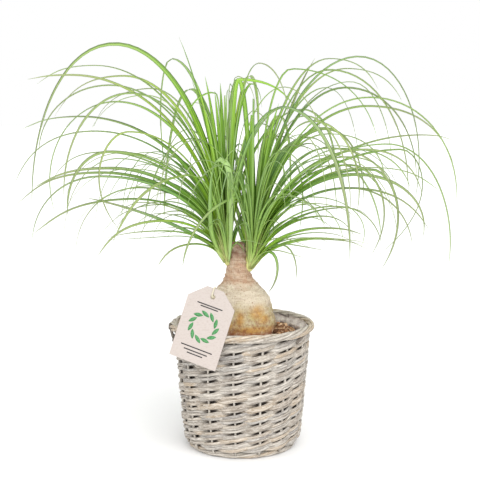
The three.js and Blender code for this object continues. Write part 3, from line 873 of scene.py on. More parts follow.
@dataclass
class Basket:
    """Willow: a woven floor, a bottom border, a wall twined round stakes and a twisted rim."""

    stakes: int = 15
    first_stake: float = -97.0
    stake_radius: float = 1.15
    stake_out: float = 1.7
    rows: int = 11
    foot: float = 6.8
    top: float = 117.0
    wall: tuple[Pair, ...] = ((0, 53), (8, 56.2), (20, 58.2), (55, 61.4), (95, 64.6), (125, 66.2))
    thickness: float = 4.6
    swing: float = 2.3
    climb: float = 2.3
    rod_wide: float = 1.8
    strand_tall: float = 3.95
    strand_sizes: Pair = (0.8, 1.12)
    overlap: float = 0.7
    kinds: tuple[RodKind, ...] = (
        RodKind.SINGLE, RodKind.DOUBLE, RodKind.DOUBLE, RodKind.DOUBLE, RodKind.TRIPLE, RodKind.TRIPLE)
    joints_at: float = 222.0
    moved_joints: float = 0.4
    rim: Border = Border(
        ring=68.2, height=121.2, offset=2.5, rod=1.5, twists=5, strands=5, low=117.0)
    foot_border: Border = Border(
        ring=50.9, height=3.1, offset=1.5, rod=1.35, twists=4, strands=4, low=0.0)
    stubs: tuple[Stub, ...] = (
        Stub(190, 68.6, 110.4, 8, 62, 1.3), Stub(196, 71.4, 117.2, 12, -34, 1.5),
        Stub(187, 71.8, 121.6, 9, 42, 1.4), Stub(41, 64.2, 119.0, 9, 82, 1.0),
        Stub(48, 64.0, 121.5, 10, 10, 0.9), Stub(-38, 70.2, 115.4, 11, 24, 1.3),
    )
    base_radius: float = 46.4
    base_middle: float = 2.5
    base_sticks: int = 8
    base_pitch: float = 3.9
    seed: int = 7

    def radius(self, z: Numbers) -> Numbers:
        """Give the wall's outer radius at a height."""
        return along(self.wall, z)

    def _strand(self, solids: Solids, row: int, second: int, start: float, random: Random) -> None:
        """Twine one strand half way round the basket, in front of every second stake.

        Args:
            solids: Where its rods go.
            row: Row of the wall, from the bottom.
            second: 0 for the first of the row's two strands, 1 for the other.
            start: Angle at which the strand starts.
            random: Source of its kind, its size and the small differences.
        """
        rods, slimness = self.kinds[int(random() * len(self.kinds))].value
        size = between(random, *self.strand_sizes)
        spacing = TAU / self.stakes
        share = np.linspace(0, 1, 150)
        angle = start + share * (self.stakes / 2 + self.overlap) * spacing
        phase = math.pi * ((angle - math.radians(self.first_stake)) / spacing + second)
        outside = np.cos(phase)
        lift = self.climb * np.sign(np.sin(phase)) * np.abs(np.sin(phase)) ** 1.5
        whole = faded(share, 0.04)
        pitch = (self.top - self.foot) / self.rows
        sag = 0.5 * waver(angle * 2.2, row * 7.3 + second * 2.9, size * 31)
        level = self.foot + (row + 0.5) * pitch + sag + lift
        for rod in range(rods):
            middle = (rod - (rods - 1) / 2) / rods
            stacked = 2 * self.strand_tall * middle * between(random, 0.85, 1.05)
            fat = size * between(random, 0.88, 1.08) * (1.06 - 0.14 * share) * (0.4 + 0.6 * whole)
            drift = 0.4 * waver(angle * 3.1, row * 3.7 + rod * 8.1, size * 17 + second)
            tall = self.strand_tall * slimness * fat * (1.1 + 0.08 * outside - 0.2 * outside ** 2)
            wide = np.minimum(self.rod_wide * fat * (1.12 - 0.1 * (rods - 1)), tall * 1.1)
            z = level + stacked * (0.3 + 0.7 * whole) + drift
            z = np.clip(z, self.foot + 0.9 * tall, self.top + 1.0 - tall)
            inset = -self.thickness / 2 + 0.35 + self.swing * outside - 0.9 * (1 - whole)
            r = self.radius(z) + inset + between(random, -0.25, 0.25) + 0.4 * drift
            # painted shade: depth darkens each rod where it runs inside, behind a stake, as though in shadow
            solids.add_rod(about_axis(r, angle, z), wide, tall, about_axis(1.0, angle, 0.0), 10,
                           grain_from=between(random, 0, 900), tone=random(), depth=((1 - outside) / 2) ** 3)

    def _stake(self, solids: Solids, index: int, random: Random) -> None:
        """Stand one upright stake in the wall."""
        z = np.linspace(self.foot - 3.0, self.top + 3.0, 30)
        angle = math.radians(self.first_stake) + index * TAU / self.stakes + 0.012 * np.sin(z / 17 + index)
        line = about_axis(self.radius(z) - self.thickness / 2 + self.stake_out, angle, z)
        thick = self.stake_radius * between(random, 0.9, 1.1)
        solids.add_rod(line, thick, thick, about_axis(1.0, angle, 0.0), 8, grain_from=index * 40.0,
                       tone=0.93 + 0.07 * random(), depth=0.0)

    def wall_pieces(self, willow: Material) -> None:
        """Build the stakes and the woven rods of the wall."""
        random = seeded(self.seed)
        stakes, rods = Solids(), Solids()
        for index in range(self.stakes):
            self._stake(stakes, index, random)
        stakes.settle("wall_stakes", willow, "willow", "basket_wall")
        for row in range(self.rows):
            start = math.radians(self.joints_at) + between(random, -0.35, 0.35)
            start += random() * TAU * (random() < self.moved_joints)
            for second in range(2):
                for half in range(2):
                    self._strand(rods, row, second, start + half * math.pi, random)
        rods.settle("wall_weave", willow, "willow", "basket_wall")

    def rim_piece(self, willow: Material) -> None:
        """Build the top border with its cut rod ends."""
        rim = Solids()
        self.rim.build(rim, seeded(self.seed + 1))
        for stub in self.stubs:
            stub.build(rim)
        rim.settle("rim_border", willow, "willow", "basket_rim")

    def foot_piece(self, willow: Material) -> None:
        """Build the bottom border."""
        foot = Solids()
        self.foot_border.build(foot, seeded(self.seed + 2))
        foot.settle("foot_border", willow, "willow", "basket_foot")

    def base_piece(self, willow: Material) -> None:
        """Build the basket's floor: rings of willow woven over and under crossed sticks."""
        solids = Solids()
        random = seeded(self.seed + 3)
        for index in range(self.base_sticks):
            turn = index * math.pi / self.base_sticks
            reach = np.linspace(-self.base_radius, self.base_radius, 24)
            # painted shade: the sticks and rings are darkened a little by their depth value, as though in
            # shadow
            solids.add_rod(about_axis(reach, turn, self.base_middle), 1.2, 1.2, np.array(UP), 8,
                           tone=random(), depth=0.4)
        angle = turns(140)
        for ring, r in enumerate(np.arange(4.0, self.base_radius - 1.0, self.base_pitch)):
            z = self.base_middle + 0.75 * np.cos(self.base_sticks * angle + ring * math.pi)
            solids.add_rod(about_axis(r, angle, z), 1.9, 1.5, about_axis(1.0, angle, 0.0), 8,
                           closed=True, tone=random(), depth=0.1)
        solids.settle("floor_weave", willow, "willow", "basket_base")

    def build(self) -> None:
        """Build every willow piece."""
        willow = WillowFinish().material()
        self.base_piece(willow)
        self.foot_piece(willow)
        self.wall_pieces(willow)
        self.rim_piece(willow)


# ---- what the basket holds ------------------------------------------------
@dataclass
class Lining:
    """Crinkled film between the soil and the wall."""

    inset: float = 5.3
    corner: float = 14.0
    top: float = 121.6
    tuck: float = 3.6
    sheet: float = 0.25
    columns: int = 300
    buried_rows: tuple[float, ...] = (5.6, 8.0, 14.0, 40.0, 80.0, 100.0)
    seen_rows: Pair = (106.0, 123.0)

    def _row(self, basket: Basket, z: float) -> tuple[np.ndarray, np.ndarray]:
        """Shape the film at one height.

        Args:
            basket: The basket that it lies in.
            z: The height.

        Returns:
            The film's outer radius and its height at each place round the basket.
        """
        at = about_axis(60.0, turns(self.columns), z)
        crease = roughness_at(at, 7.0)
        loose = eased(104, 114, z) * (1.3 + 1.5 * crease)
        tucked = eased(115.5, self.top - 1, z)
        r = basket.radius(z) - self.inset - loose * (1 - tucked) - 0.25 * crease + self.tuck * tucked
        r = r - 0.3 * max(self.corner - z, 0.0)
        return r, np.minimum(z, self.top + 0.9 * roughness_at(at * [1, 1, 0], 16.0))

    def build(self, basket: Basket) -> None:
        """Build the film against the basket's wall."""
        turn = turns(self.columns)
        inner, outer = [], []
        for z in (*self.buried_rows, *np.linspace(*self.seen_rows, 22)):
            r, edge = self._row(basket, z)
            outer.append(about_axis(r, turn, edge))
            inner.append(about_axis(r - self.sheet, turn, edge + 0.05))
        bottom = outer[0] * [0.02, 0.02, 1.0]
        film = Solids()
        film.add(np.array([bottom, *outer, *reversed(inner), bottom + [0, 0, self.sheet]]))
        film.settle("lining_film", FilmFinish().material(), "film", "liner")


@dataclass
class SoilBed:
    """Potting soil with loose crumbs, bark bits and a few fibres on top."""

    level: float = 111.5
    inset: float = 6.3
    floor: float = 6.6
    floor_radius: float = 42.0
    trunk_radius: float = 41.0
    heap: float = 13.0
    heap_at: Pair = (37.0, -14.0)
    heap_spread: Pair = (120.0, 520.0)
    crumbs: int = 950
    small: Pair = (0.6, 1.6)
    large: Pair = (1.6, 3.2)
    small_share: float = 0.65
    fibres: int = 40
    fibre_length: Pair = (4.0, 11.0)
    seed: int = 23

    def _surface(self, x: Numbers, y: Numbers) -> np.ndarray:
        """Give the height of the soil at places, with a heap beside the trunk."""
        at = np.stack(np.broadcast_arrays(x, y, 0.0), axis=-1)
        away = sum((place - middle) ** 2 / spread
                   for place, middle, spread in zip((x, y), self.heap_at, self.heap_spread))
        return self.level + 1.5 * roughness_at(at, 16.0, 4) + self.heap * np.exp(-away)

    def _bed(self, solids: Solids, basket: Basket) -> None:
        """Fill the lining with soil up to its lumpy top."""
        turn = turns(200)
        rings = [about_axis(r, turn, self.floor) for r in (1.0, self.floor_radius)]
        for z in (14.0, 60.0, 95.0, 106.0):
            rings.append(about_axis(basket.radius(z) - self.inset, turn, z))
        edge = basket.radius(self.level) - self.inset
        for r in np.arange(edge, 2.0, -1.3):
            ring = about_axis(r, turn, 0.0)
            ring[:, 2] = self._surface(ring[:, 0], ring[:, 1]) - 1.6 * (1 - eased(0, 4, edge - r))
            rings.append(ring)
        solids.add(np.array(rings), tone=0.22)

    @staticmethod
    def _crumb(solids: Solids, middle: np.ndarray, size: np.ndarray, random: Random) -> None:
        """Drop one angular crumb on the soil."""
        rise = np.linspace(0.06, math.pi - 0.06, 5)[:, None]
        ball = about_axis(np.sin(rise), turns(7) + random(), np.cos(rise))
        knobs = 1 + 0.35 * roughness_at(ball + middle * 0.7, 0.8, 2)
        spin = random() * TAU
        tilt = between(random, -0.6, 0.6)
        x, y, z = np.moveaxis(ball * knobs[..., None] * size, -1, 0)
        x, z = spun(x, z, tilt)
        x, y = spun(x, y, spin)
        solids.add(np.stack([x, y, z], axis=-1) + middle, tone=random() ** 1.2)

    def _fibre(self, solids: Solids, edge: float, random: Random) -> None:
        """Drop one bent fibre on the soil, no further out than the edge."""
        r = between(random, self.trunk_radius, edge - 3)
        turn, heading = random() * TAU, random() * TAU
        length = between(random, *self.fibre_length)
        bend = between(random, -0.6, 0.6)
        steps = np.linspace(-0.5, 0.5, 9)
        x, y = spun(length * steps, bend * length * steps ** 2, heading)
        x, y = x + r * math.cos(turn), y + r * math.sin(turn)
        line = np.stack([x, y, self._surface(x, y) + 0.9], axis=1)
        thick = between(random, 0.18, 0.4)
        rings, _ = rod_section(line, thick, thick, np.array(UP), 6)
        solids.add(rings, tone=0.8 + 0.2 * random())

    def build(self, basket: Basket) -> None:
        """Build the soil with what lies on it."""
        random = seeded(self.seed)
        solids = Solids()
        self._bed(solids, basket)
        edge = basket.radius(self.level) - self.inset - 1.5
        for _ in range(self.crumbs):
            r = math.sqrt(between(random, (self.trunk_radius - 5) ** 2, edge ** 2))
            turn = random() * TAU
            x, y = r * math.cos(turn), r * math.sin(turn)
            long = between(random, *(self.small if random() < self.small_share else self.large))
            size = long * np.array([1.0, between(random, 0.5, 1.0), between(random, 0.3, 0.8)])
            z = float(self._surface(x, y)) + 0.25 * long
            self._crumb(solids, np.array([x, y, z]), size, random)
        for _ in range(self.fibres):
            self._fibre(solids, edge, random)
        solids.settle("soil_bed", SoilFinish().material(), "soil", "soil")


@dataclass(frozen=True)
class Spot:
    """A stain or knot on the trunk's front: place, half width, half height and lift."""

    x: float
    z: float
    wide: float
    tall: float
    lift: float = 0.0

    def away(self, x: np.ndarray, z: np.ndarray) -> np.ndarray:
        """Give the squared distance of places from the spot, against its size."""
        return ((x - self.x) / self.wide) ** 2 + ((z - self.z) / self.tall) ** 2


@dataclass
class Trunk:
    """The swollen, ringed trunk with its cut neck."""

    axis_x: float = -2.0
    lean: float = 2.5
    profile: tuple[Pair, ...] = (
        (1.0, 84), (20, 85.5), (34, 92), (40.4, 101), (41.4, 109), (40, 115), (38.2, 120),
        (36.5, 126), (34.7, 132), (32.8, 139), (30.4, 147), (27, 153), (22.4, 158), (18.2, 162.5),
        (14.6, 168), (12.2, 174), (10.4, 181), (9.2, 188), (8.3, 195), (7.4, 201), (5.6, 203.6),
        (1.0, 203.2),
    )
    rings: int = 260
    sides: int = 180
    shown: Pair = (105.0, 204.0)
    neck_from: Pair = (150.0, 172.0)
    soil_from: Pair = (108.0, 116.0)
    cut_from: Pair = (197.0, 203.0)
    stains: tuple[Spot, ...] = (
        Spot(15, 139, 7, 6.5), Spot(21, 132, 6, 5), Spot(-2, 133, 5, 8), Spot(-14, 126, 9, 5),
        Spot(10, 123, 20, 3.5),
    )
    knots: tuple[Spot, ...] = (
        Spot(17.5, 133, 1.5, 1.5, -0.7), Spot(29, 133, 1.3, 1.3, -0.6), Spot(28, 149, 1.6, 1.6, 1.2),
        Spot(-24, 160, 7, 7, 1.3), Spot(21, 118, 2.4, 2.4, 0.8), Spot(5, 160, 4, 4, 0.5),
    )

    def _radius(self, radius: np.ndarray, height: np.ndarray,
                turn: np.ndarray) -> tuple[np.ndarray, np.ndarray]:
        """Give the trunk's radius with its lobes, scars, rings and cracks.

        Args:
            radius: The profile's radius at each ring.
            height: Its height.
            turn: The angles round the trunk.

        Returns:
            The radius at each ring and angle, and the places of the surface without its cracks.
        """
        bulb = np.clip((165 - height) / 30, 0, 1)
        lobes = 1 + bulb * (0.022 * np.cos(3 * turn + 2.6) + 0.012 * np.cos(5 * turn + height / 14))
        scars = (1 - bulb) * 0.35 * np.cos(7 * turn + height * 0.8)
        r = radius * lobes + scars
        at = about_axis(r, turn, height)
        neck = eased(*self.neck_from, height)
        rough = (0.45 + 0.5 * neck) * roughness_at(at * [0.35, 0.35, 3.2], 8.0)
        rough = rough + 0.55 * (1 - neck) * roughness_at(at, 15.0)
        rough = rough + 0.4 * roughness_at(at * [2.2, 2.2, 0.28], 5.0)
        cracked = r + eased(*self.soil_from, height) * rough * np.clip(radius / 6, 0, 1)
        return cracked, at

    def build(self) -> None:
        """Build the trunk with its stains, knots and cut top."""
        line = through([(r, 0.0, z) for r, z in self.profile], self.rings)
        radius, height = line[:, :1], line[:, 2:]
        turn = turns(self.sides)
        r, at = self._radius(radius, height, turn)
        z = height + eased(*self.cut_from, height) * 1.6 * roughness_at(at * [1, 1, 0.2], 3.0)
        x, front = r * np.cos(turn), np.sin(turn) < 0
        for knot in self.knots:
            r = r + front * knot.lift * np.exp(-knot.away(x, z))
        body = about_axis(r, turn, z)
        body[..., :1] += self.axis_x - self.lean * eased(155, 182, height)[..., None]
        stain = np.max([front * np.exp(-spot.away(body[..., 0], z) ** 1.5) for spot in self.stains], axis=0)
        behind = np.clip(roughness_at(body, 22.0) * 1.4 - 0.1, 0, 1) * (height < self.neck_from[0])
        low, high = self.shown
        solids = Solids()
        solids.add(body, height=np.clip((height - low) / (high - low), 0, 1) + 0 * r,
                   stain=np.where(front, stain, behind * 0.8))
        solids.settle("palm_trunk", BarkFinish().material(), "bark", "trunk")


# ---- leaves ---------------------------------------------------------------
class Side(Enum):
    """Which head of leaves."""

    LEFT = "left"
    RIGHT = "right"


class Form(Enum):
    """How a blade's width runs from its root to its tip."""

    BROAD = ((0, 1.0), (0.1, 1.4), (0.35, 1.6), (0.6, 1.3), (0.92, 1.0), (1, 0.2))
    HEART = ((0, 1.5), (0.05, 1.7), (0.4, 1.65), (0.7, 1.2), (0.9, 0.6), (1, 0.06))
    STRAP = ((0, 1.6), (0.03, 1.8), (0.08, 1.5), (0.3, 1.4), (0.5, 1.12), (0.75, 0.84), (0.92, 0.5),
             (1, 0.06))
    WISP = ((0, 1.3), (0.03, 1.4), (0.1, 1.0), (0.3, 0.72), (0.5, 0.55), (0.75, 0.38), (1, 0.05))


@dataclass(frozen=True)
class Leaf:
    """One strap leaf: where its arch tops out and where its tip ends."""

    azimuth: float
    reach: float
    height: float
    tip_reach: float
    tip_height: float
    belly: float
    width: float
    sweep: float
    broad: bool = False

    def form(self) -> Form:
        """Choose the leaf's form, where it isn't a wisp."""
        if self.broad:
            return Form.BROAD
        return Form.HEART if self.height > 320 and self.reach < 60 else Form.STRAP

    def towards_back(self) -> float:
        """Tell how far the leaf points away from the viewer, from -1 to 1."""
        return math.sin(math.radians(self.azimuth))


@dataclass(frozen=True)
class Tier:
    """Ranges from which leaves of one level of the head are drawn."""

    share: float
    reach: Pair
    height: Pair
    past: Pair
    drop: Pair
    width: Pair


TIERS = (
    Tier(0.16, (12, 55), (300, 375), (10, 45), (4, 40), (3, 4)),
    Tier(0.32, (60, 115), (315, 385), (45, 80), (50, 150), (2.6, 4.2)),
    Tier(0.30, (80, 120), (255, 315), (50, 85), (30, 110), (2.4, 4)),
    Tier(0.22, (45, 90), (205, 250), (25, 70), (12, 60), (2.2, 3.4)),
)

OUTLINE_LEAVES: dict[Side, tuple[Leaf, ...]] = {
    Side.LEFT: (
        Leaf(185, 107, 396, 189, 241, 0, 5.4, 0), Leaf(172, 131, 377, 190, 359, 0, 3.4, 0),
        Leaf(196, 150, 367, 190, 363, 0, 3.2, 0), Leaf(160, 119, 341, 191, 225, 16, 3.4, 0),
        Leaf(205, 98, 350, 164, 252, 2, 3.2, 0), Leaf(150, 122, 367, 213, 325, 0, 2.4, 0),
        Leaf(190, 143, 328, 197, 316, 0, 5, 0), Leaf(178, 129, 313, 210, 259, 0, 3.4, 0),
        Leaf(215, 110, 315, 119, 224, 30, 3, 0), Leaf(198, 117, 295, 156, 234, 3, 4.6, 0),
        Leaf(165, 128, 291, 186, 260, 0, 3, 0), Leaf(186, 115, 278, 187, 260, 0, 3.6, 0),
        Leaf(170, 125, 271, 217, 238, 0, 3.4, 0), Leaf(193, 125, 271, 189, 211, 0, 4, 0),
        Leaf(200, 99, 250, 190, 221, 0, 4, 0), Leaf(175, 139, 247, 139, 247, 0, 3, 0),
        Leaf(212, 79, 230, 139, 201, 0, 3.4, 0), Leaf(235, 59, 274, 169, 224, 0, 3.6, 0),
        Leaf(208, 37, 205, 75, 186, 0, 3, 0), Leaf(240, 22, 291, 34, 186, 4, 4.5, 35, broad=True),
        Leaf(140, 74, 384, 81, 260, 13, 3, 0), Leaf(165, 48, 404, 48, 404, 0, 2.6, 0),
        Leaf(150, 39, 362, 39, 362, 0, 3.4, 0), Leaf(120, 15, 360, 15, 360, 0, 4.4, 0),
        Leaf(20, 12, 363, 75, 332, 0, 3, 0), Leaf(318, 70, 337, 150, 202, 1, 4.8, 0),
    ),
    Side.RIGHT: (
        Leaf(5, 104, 385, 162, 242, 11, 3.8, 0), Leaf(25, 85, 384, 141, 354, 0, 3.4, 0),
        Leaf(340, 40, 373, 125, 301, 0, 3, 0), Leaf(30, 72, 384, 72, 384, 0, 3.4, 0),
        Leaf(15, 97, 374, 156, 342, 0, 3.2, 0), Leaf(348, 74, 372, 151, 250, 2, 3.6, 0),
        Leaf(355, 90, 355, 159, 268, 0, 4.6, 0), Leaf(352, 113, 346, 197, 248, 1, 4.2, 0),
        Leaf(8, 114, 337, 203, 281, 0, 3.6, 0), Leaf(12, 173, 308, 210, 302, 0, 3.2, 0),
        Leaf(358, 131, 301, 193, 182, 5, 3.8, 0), Leaf(20, 121, 275, 210, 248, 0, 3.2, 0),
        Leaf(350, 97, 259, 172, 220, 0, 3.6, 0), Leaf(335, 102, 283, 122, 198, 20, 3.4, 0),
        Leaf(345, 117, 278, 128, 183, 22, 3.4, 0), Leaf(10, 151, 294, 126, 186, 31, 2.4, 0),
        Leaf(25, 100, 234, 132, 224, 0, 3, 0), Leaf(355, 73, 219, 109, 213, 0, 3.2, 0),
        Leaf(300, 70, 256, 126, 234, 0, 3.2, 0), Leaf(330, 33, 205, 50, 172, 1, 2.6, 0),
        Leaf(320, 24, 199, 20, 156, 11, 2.6, 0), Leaf(236, 17, 250, 77, 186, 0, 3.2, -26),
    ),
}

INNER_LEAVES: dict[Side, tuple[Leaf, ...]] = {
    Side.LEFT: (
        Leaf(28, 38, 258, 38, 258, 0, 3.4, 0), Leaf(52, 30, 290, 46, 280, 0, 3.2, 0),
        Leaf(40, 26, 244, 26, 244, 0, 3.6, 0), Leaf(66, 34, 250, 60, 214, 0, 3, 0),
        Leaf(172, 21, 366, 21, 366, 0, 3.6, 0), Leaf(186, 29, 360, 29, 360, 0, 3.6, 0),
        Leaf(160, 12, 352, 12, 352, 0, 3.4, 0),
    ),
    Side.RIGHT: (
        Leaf(134, 42, 268, 42, 268, 0, 3.4, 0), Leaf(116, 26, 300, 40, 290, 0, 3.2, 0),
        Leaf(150, 30, 240, 30, 240, 0, 3.4, 0), Leaf(124, 30, 252, 50, 226, 0, 3, 0),
        Leaf(20, 27, 340, 27, 340, 0, 3.2, 0), Leaf(35, 20, 330, 20, 330, 0, 3.6, 0),
    ),
}


@dataclass(frozen=True)
class Head:
    """One head of leaves: its shoot, and which of its drawn leaves are full straps.

    The strap share is how many of the drawn leaves aren't wisps, and those that arch
    below thin_below are wisps in any case.
    """

    side: Side
    base: Point
    root: Point
    strap_share: float
    thin_below: float

    def midrib(self, leaf: Leaf, steps: int) -> tuple[np.ndarray, np.ndarray]:
        """Trace a leaf's midrib: up out of the heart, over the arch, down to the tip.

        Args:
            leaf: The leaf.
            steps: Number of straight pieces.

        Returns:
            The points, and the leaf's azimuth in radians at each.
        """
        upright = min(max((leaf.height - 200) / 190, 0), 1)
        r0, z0 = 6.5 - 4 * upright, self.base[2] + 22 * upright
        reach, height = leaf.reach, leaf.height
        far = max(reach, leaf.tip_reach) + leaf.belly
        arched = math.hypot(leaf.tip_reach - reach, leaf.tip_height - height) > 1
        pulls = ((0.13, 0.62), (0.55, 1.0)) if arched else ((0.25, 0.42), (0.6, 0.8))
        corners = [(r0 + r * (reach - r0), z0 + z * (height - z0)) for r, z in ((0, 0), *pulls, (1, 1))]
        flat = bezier(corners, 60)
        if arched:
            droop = min(1, (height - leaf.tip_height) / max(far - reach, 1))
            bow = 0.35 * (far - leaf.tip_reach) - (1 - droop) * 0.35 * (far - reach)
            fall = [(reach, height), (reach + 0.62 * (far - reach), height),
                    (far + bow, (height + leaf.tip_height) / 2), (leaf.tip_reach, leaf.tip_height)]
            flat = np.concatenate([flat, bezier(fall, 60)[1:]])
        r, z = evenly(flat, steps).T
        turn = np.radians(leaf.azimuth + leaf.sweep * np.linspace(0, 1, steps + 1))
        return about_axis(r, turn, z) + [self.base[0], self.base[1], 0.0], turn

    def rooted(self, points: np.ndarray, turn: np.ndarray) -> tuple[np.ndarray, np.ndarray]:
        """Draw a leaf's foot in to the shoot's root, and smooth the way out of it.

        Args:
            points: The midrib above the root.
            turn: The leaf's azimuth at each of those points.

        Returns:
            The longer midrib, and the azimuth at each of its points.
        """
        spread = points[0] - np.array(self.base)
        line = np.vstack([np.array(self.root, float) + spread * [0.55, 0.55, 0.3], points])
        share = (1 - eased(5, 12, np.arange(1, len(line) - 1)))[:, None]
        for _ in range(3):
            smooth = (line[:-2] + 2 * line[1:-1] + line[2:]) / 4
            line[1:-1] += (smooth - line[1:-1]) * share
        return line, np.concatenate([turn[:1], turn])


@dataclass
class Trace:
    """Points along a midrib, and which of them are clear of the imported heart."""

    points: np.ndarray
    free: np.ndarray

    def near(self, others: list["Trace"], clearance: float, free_only: bool) -> bool:
        """Tell whether a leaf comes too close to others.

        Args:
            others: Traces of the other leaves.
            clearance: Distance below which it is too close.
            free_only: Whether the points in the hearts are left out.

        Returns:
            True where some point is too close.
        """
        mine, *theirs = (one.points[one.free] if free_only else one.points for one in (self, *others))
        if not len(mine) or not theirs:
            return False
        gaps = np.linalg.norm(mine[:, None] - np.concatenate(theirs)[None], axis=2)
        return bool(gaps.size) and bool(gaps.min() < clearance)


@dataclass
class Crowns:
    """Both heads of leaves, drawn by one rule that keeps them off each other."""

    heads: tuple[Head, Head] = (
        Head(Side.LEFT, (-15, -1, 190), (-13.6, -2, 184.5), strap_share=0.5, thin_below=300.0),
        Head(Side.RIGHT, (10, -2, 185), (6.8, -3, 178.5), strap_share=0.95, thin_below=225.0),
    )
    per_head: int = 82
    tries: int = 900
    golden: float = 137.508
    trunk_in_view: float = 45.0
    lowest_tip: float = 196.0
    squeeze: float = 0.08
    clear_other: float = 5.6
    clear_same: float = 3.2
    heart_length: float = 60.0
    trace_step: float = 6.0
    seed: int = 11
    fine_per_head: int = 8
    fine_seed: int = 5
    blade_seed: int = 111
    thin_in_front: float = -0.6
    thickness: float = 0.42
    channel: float = 0.38
    section: tuple[float, ...] = (-1.0, -0.5, 0.0, 0.5, 1.0, 0.5, 0.0, -0.5)
    below: tuple[float, ...] = (0.25, 0.0, 0.0, 0.0, 0.25, 0.8, 1.25, 0.8)
    underside: tuple[float, ...] = (0.0, 0.0, 0.0, 0.0, 0.0, 1.0, 1.0, 1.0)
    roll: Pair = (0.0, 1.1)
    waves: Pair = (3.0, 7.0)
    wave_height: float = 2.2
    twist: float = 0.9
    heart_age: float = 0.3
    heart_tones: Pair = (0.22, 0.66)
    front_line: tuple[Point, ...] = (
        (-16, -3, 184), (-22.6, -8, 196), (-28.6, -16, 215), (-29.7, -22, 232), (-29.6, -26, 252),
        (-28.8, -29, 269), (-26.2, -31, 282), (-21.2, -33, 287.6), (-15.2, -34, 284.5), (-12, -35, 273.5),
        (-11.1, -35, 250), (-11.1, -34, 219), (-12.6, -32, 189),
    )
    front_turn: float = 310.0
    front_twist: float = 0.85
    front_twist_spread: float = 0.2
    most_steps: int = 46
    core: tuple[Pair, ...] = ((0.4, -3.5), (2.6, -2.5), (4.2, 2), (5.0, 8), (4.6, 20), (2.8, 34), (0.4, 40))

    def _drawn(self, random: Random, index: int) -> Leaf:
        """Draw one leaf of a head by rule."""
        rank = random()
        tier = TIERS[-1]
        for candidate in TIERS:
            rank -= candidate.share
            if rank < 0:
                tier = candidate
                break
        azimuth = (index * self.golden + 20 * random()) % 360
        facing = math.sin(math.radians(azimuth))
        short = 1 - self.squeeze * abs(facing)
        reach = between(random, *tier.reach) * short
        height = between(random, *tier.height)
        past = between(random, *tier.past) * short
        drop = between(random, *tier.drop)
        belly = 14 * random() if random() < 0.25 else 0.0
        floor = self.lowest_tip + self.trunk_in_view * max(0.0, -facing)
        tip = min(height, max(floor, height - drop))
        width = between(random, *tier.width)
        return Leaf(azimuth, reach, height, reach + past, tip, belly, width, 24 * (random() - 0.5))

    def _trace(self, head: Head, leaf: Leaf) -> Trace:
        """Set points about 6 mm apart on a leaf's midrib."""
        length = travelled(head.midrib(leaf, 16)[0])[-1]
        steps = max(4, round(length / self.trace_step))
        points, _ = head.midrib(leaf, steps)
        return Trace(points, np.linspace(0, 1, steps + 1) * length > self.heart_length)

    def _fill(self, leaves: list[list[Leaf]], traces: list[list[Trace]], wanted: int, random: Random,
              nearness: float) -> None:
        """Draw leaves until both heads hold the wanted number.

        Args:
            leaves: Leaves so far of the left and right heads, which grow.
            traces: Their traces, which grow too.
            wanted: Leaves that each head should have.
            random: Source of the draws.
            nearness: Share of the usual clearances that is kept.
        """
        for attempt in range(self.tries):
            for mine, head in enumerate(self.heads):
                leaf = self._drawn(random, attempt)
                if len(leaves[mine]) >= wanted:
                    continue
                trace = self._trace(head, leaf)
                if trace.near(traces[1 - mine], self.clear_other * nearness, free_only=False):
                    continue
                if trace.near(traces[mine], self.clear_same * nearness, free_only=True):
                    continue
                leaves[mine].append(leaf)
                traces[mine].append(trace)

    def _line(self, head: Head, leaf: Leaf) -> tuple[np.ndarray, np.ndarray]:
        """Lay a leaf's whole midrib.

        Args:
            head: Head that it grows from.
            leaf: The leaf.

        Returns:
            The points, and the leaf's azimuth in radians at each.
        """
        if leaf.broad:
            points = through(self.front_line, self.most_steps)
            return points, np.full(len(points), math.radians(self.front_turn))
        length = travelled(head.midrib(leaf, 16)[0])[-1]
        steps = int(min(self.most_steps, max(14, round(length / self.trace_step))))
        return head.rooted(*head.midrib(leaf, steps - 1))

    def _blade(self, solids: Solids, head: Head, leaf: Leaf, form: Form, random: Random) -> None:
        """Build one channelled blade that thins out to its tip.

        Args:
            solids: Where the blade goes.
            head: Head that it grows from.
            leaf: The leaf.
            form: How its width runs.
            random: Source of its twist, waves and tone.
        """
        points, turn = self._line(head, leaf)
        t = np.linspace(0, 1, len(points))
        forward = directions(points)
        side = about_axis(1.0, turn + TAU / 4, 0.0)
        sideways = math.cos(turn[0])
        wave = self.wave_height * between(random, -1, 1) * t
        wave = wave * np.sin(t * between(random, *self.waves) + random() * TAU)
        spin = between(random, *self.roll) * sideways * (1 - 0.4 * t)
        spin = spin + between(random, -1, 1) * self.twist * t ** 1.5
        if leaf.broad:
            spin = self.front_twist * np.exp(-((t - 0.5) / self.front_twist_spread) ** 2)
        else:
            points = points + side * wave[:, None]
        up = unit(np.cross(forward, side))
        across = side * np.cos(spin)[:, None] + up * np.sin(spin)[:, None]
        up = unit(np.cross(forward, across))
        spots, below = np.array(self.section), np.array(self.below)
        half = leaf.width / 2 * along(form.value, t)[:, None]
        rise = self.channel * np.abs(spots) ** 1.4 * half - below * np.minimum(self.thickness, half * 0.6)
        rings = points[:, None] + (spots * half)[..., None] * across[:, None] + rise[..., None] * up[:, None]
        oldest = self.heart_age if form is Form.HEART else 0.4 + 0.6 * abs(sideways)
        span = np.stack(np.broadcast_arrays(np.minimum(t, oldest)[:, None], spots, random()), axis=-1)
        tone = between(random, *(self.heart_tones if form is Form.HEART else (0.0, 1.0)))
        pale = 0.4 * abs(sideways) * t if form is Form.WISP else 0.0
        solids.add(rings, span=span, tone=1.0 if leaf.broad else tone, pale=pale,
                   under=1.0 if leaf.broad else np.array([self.underside]))

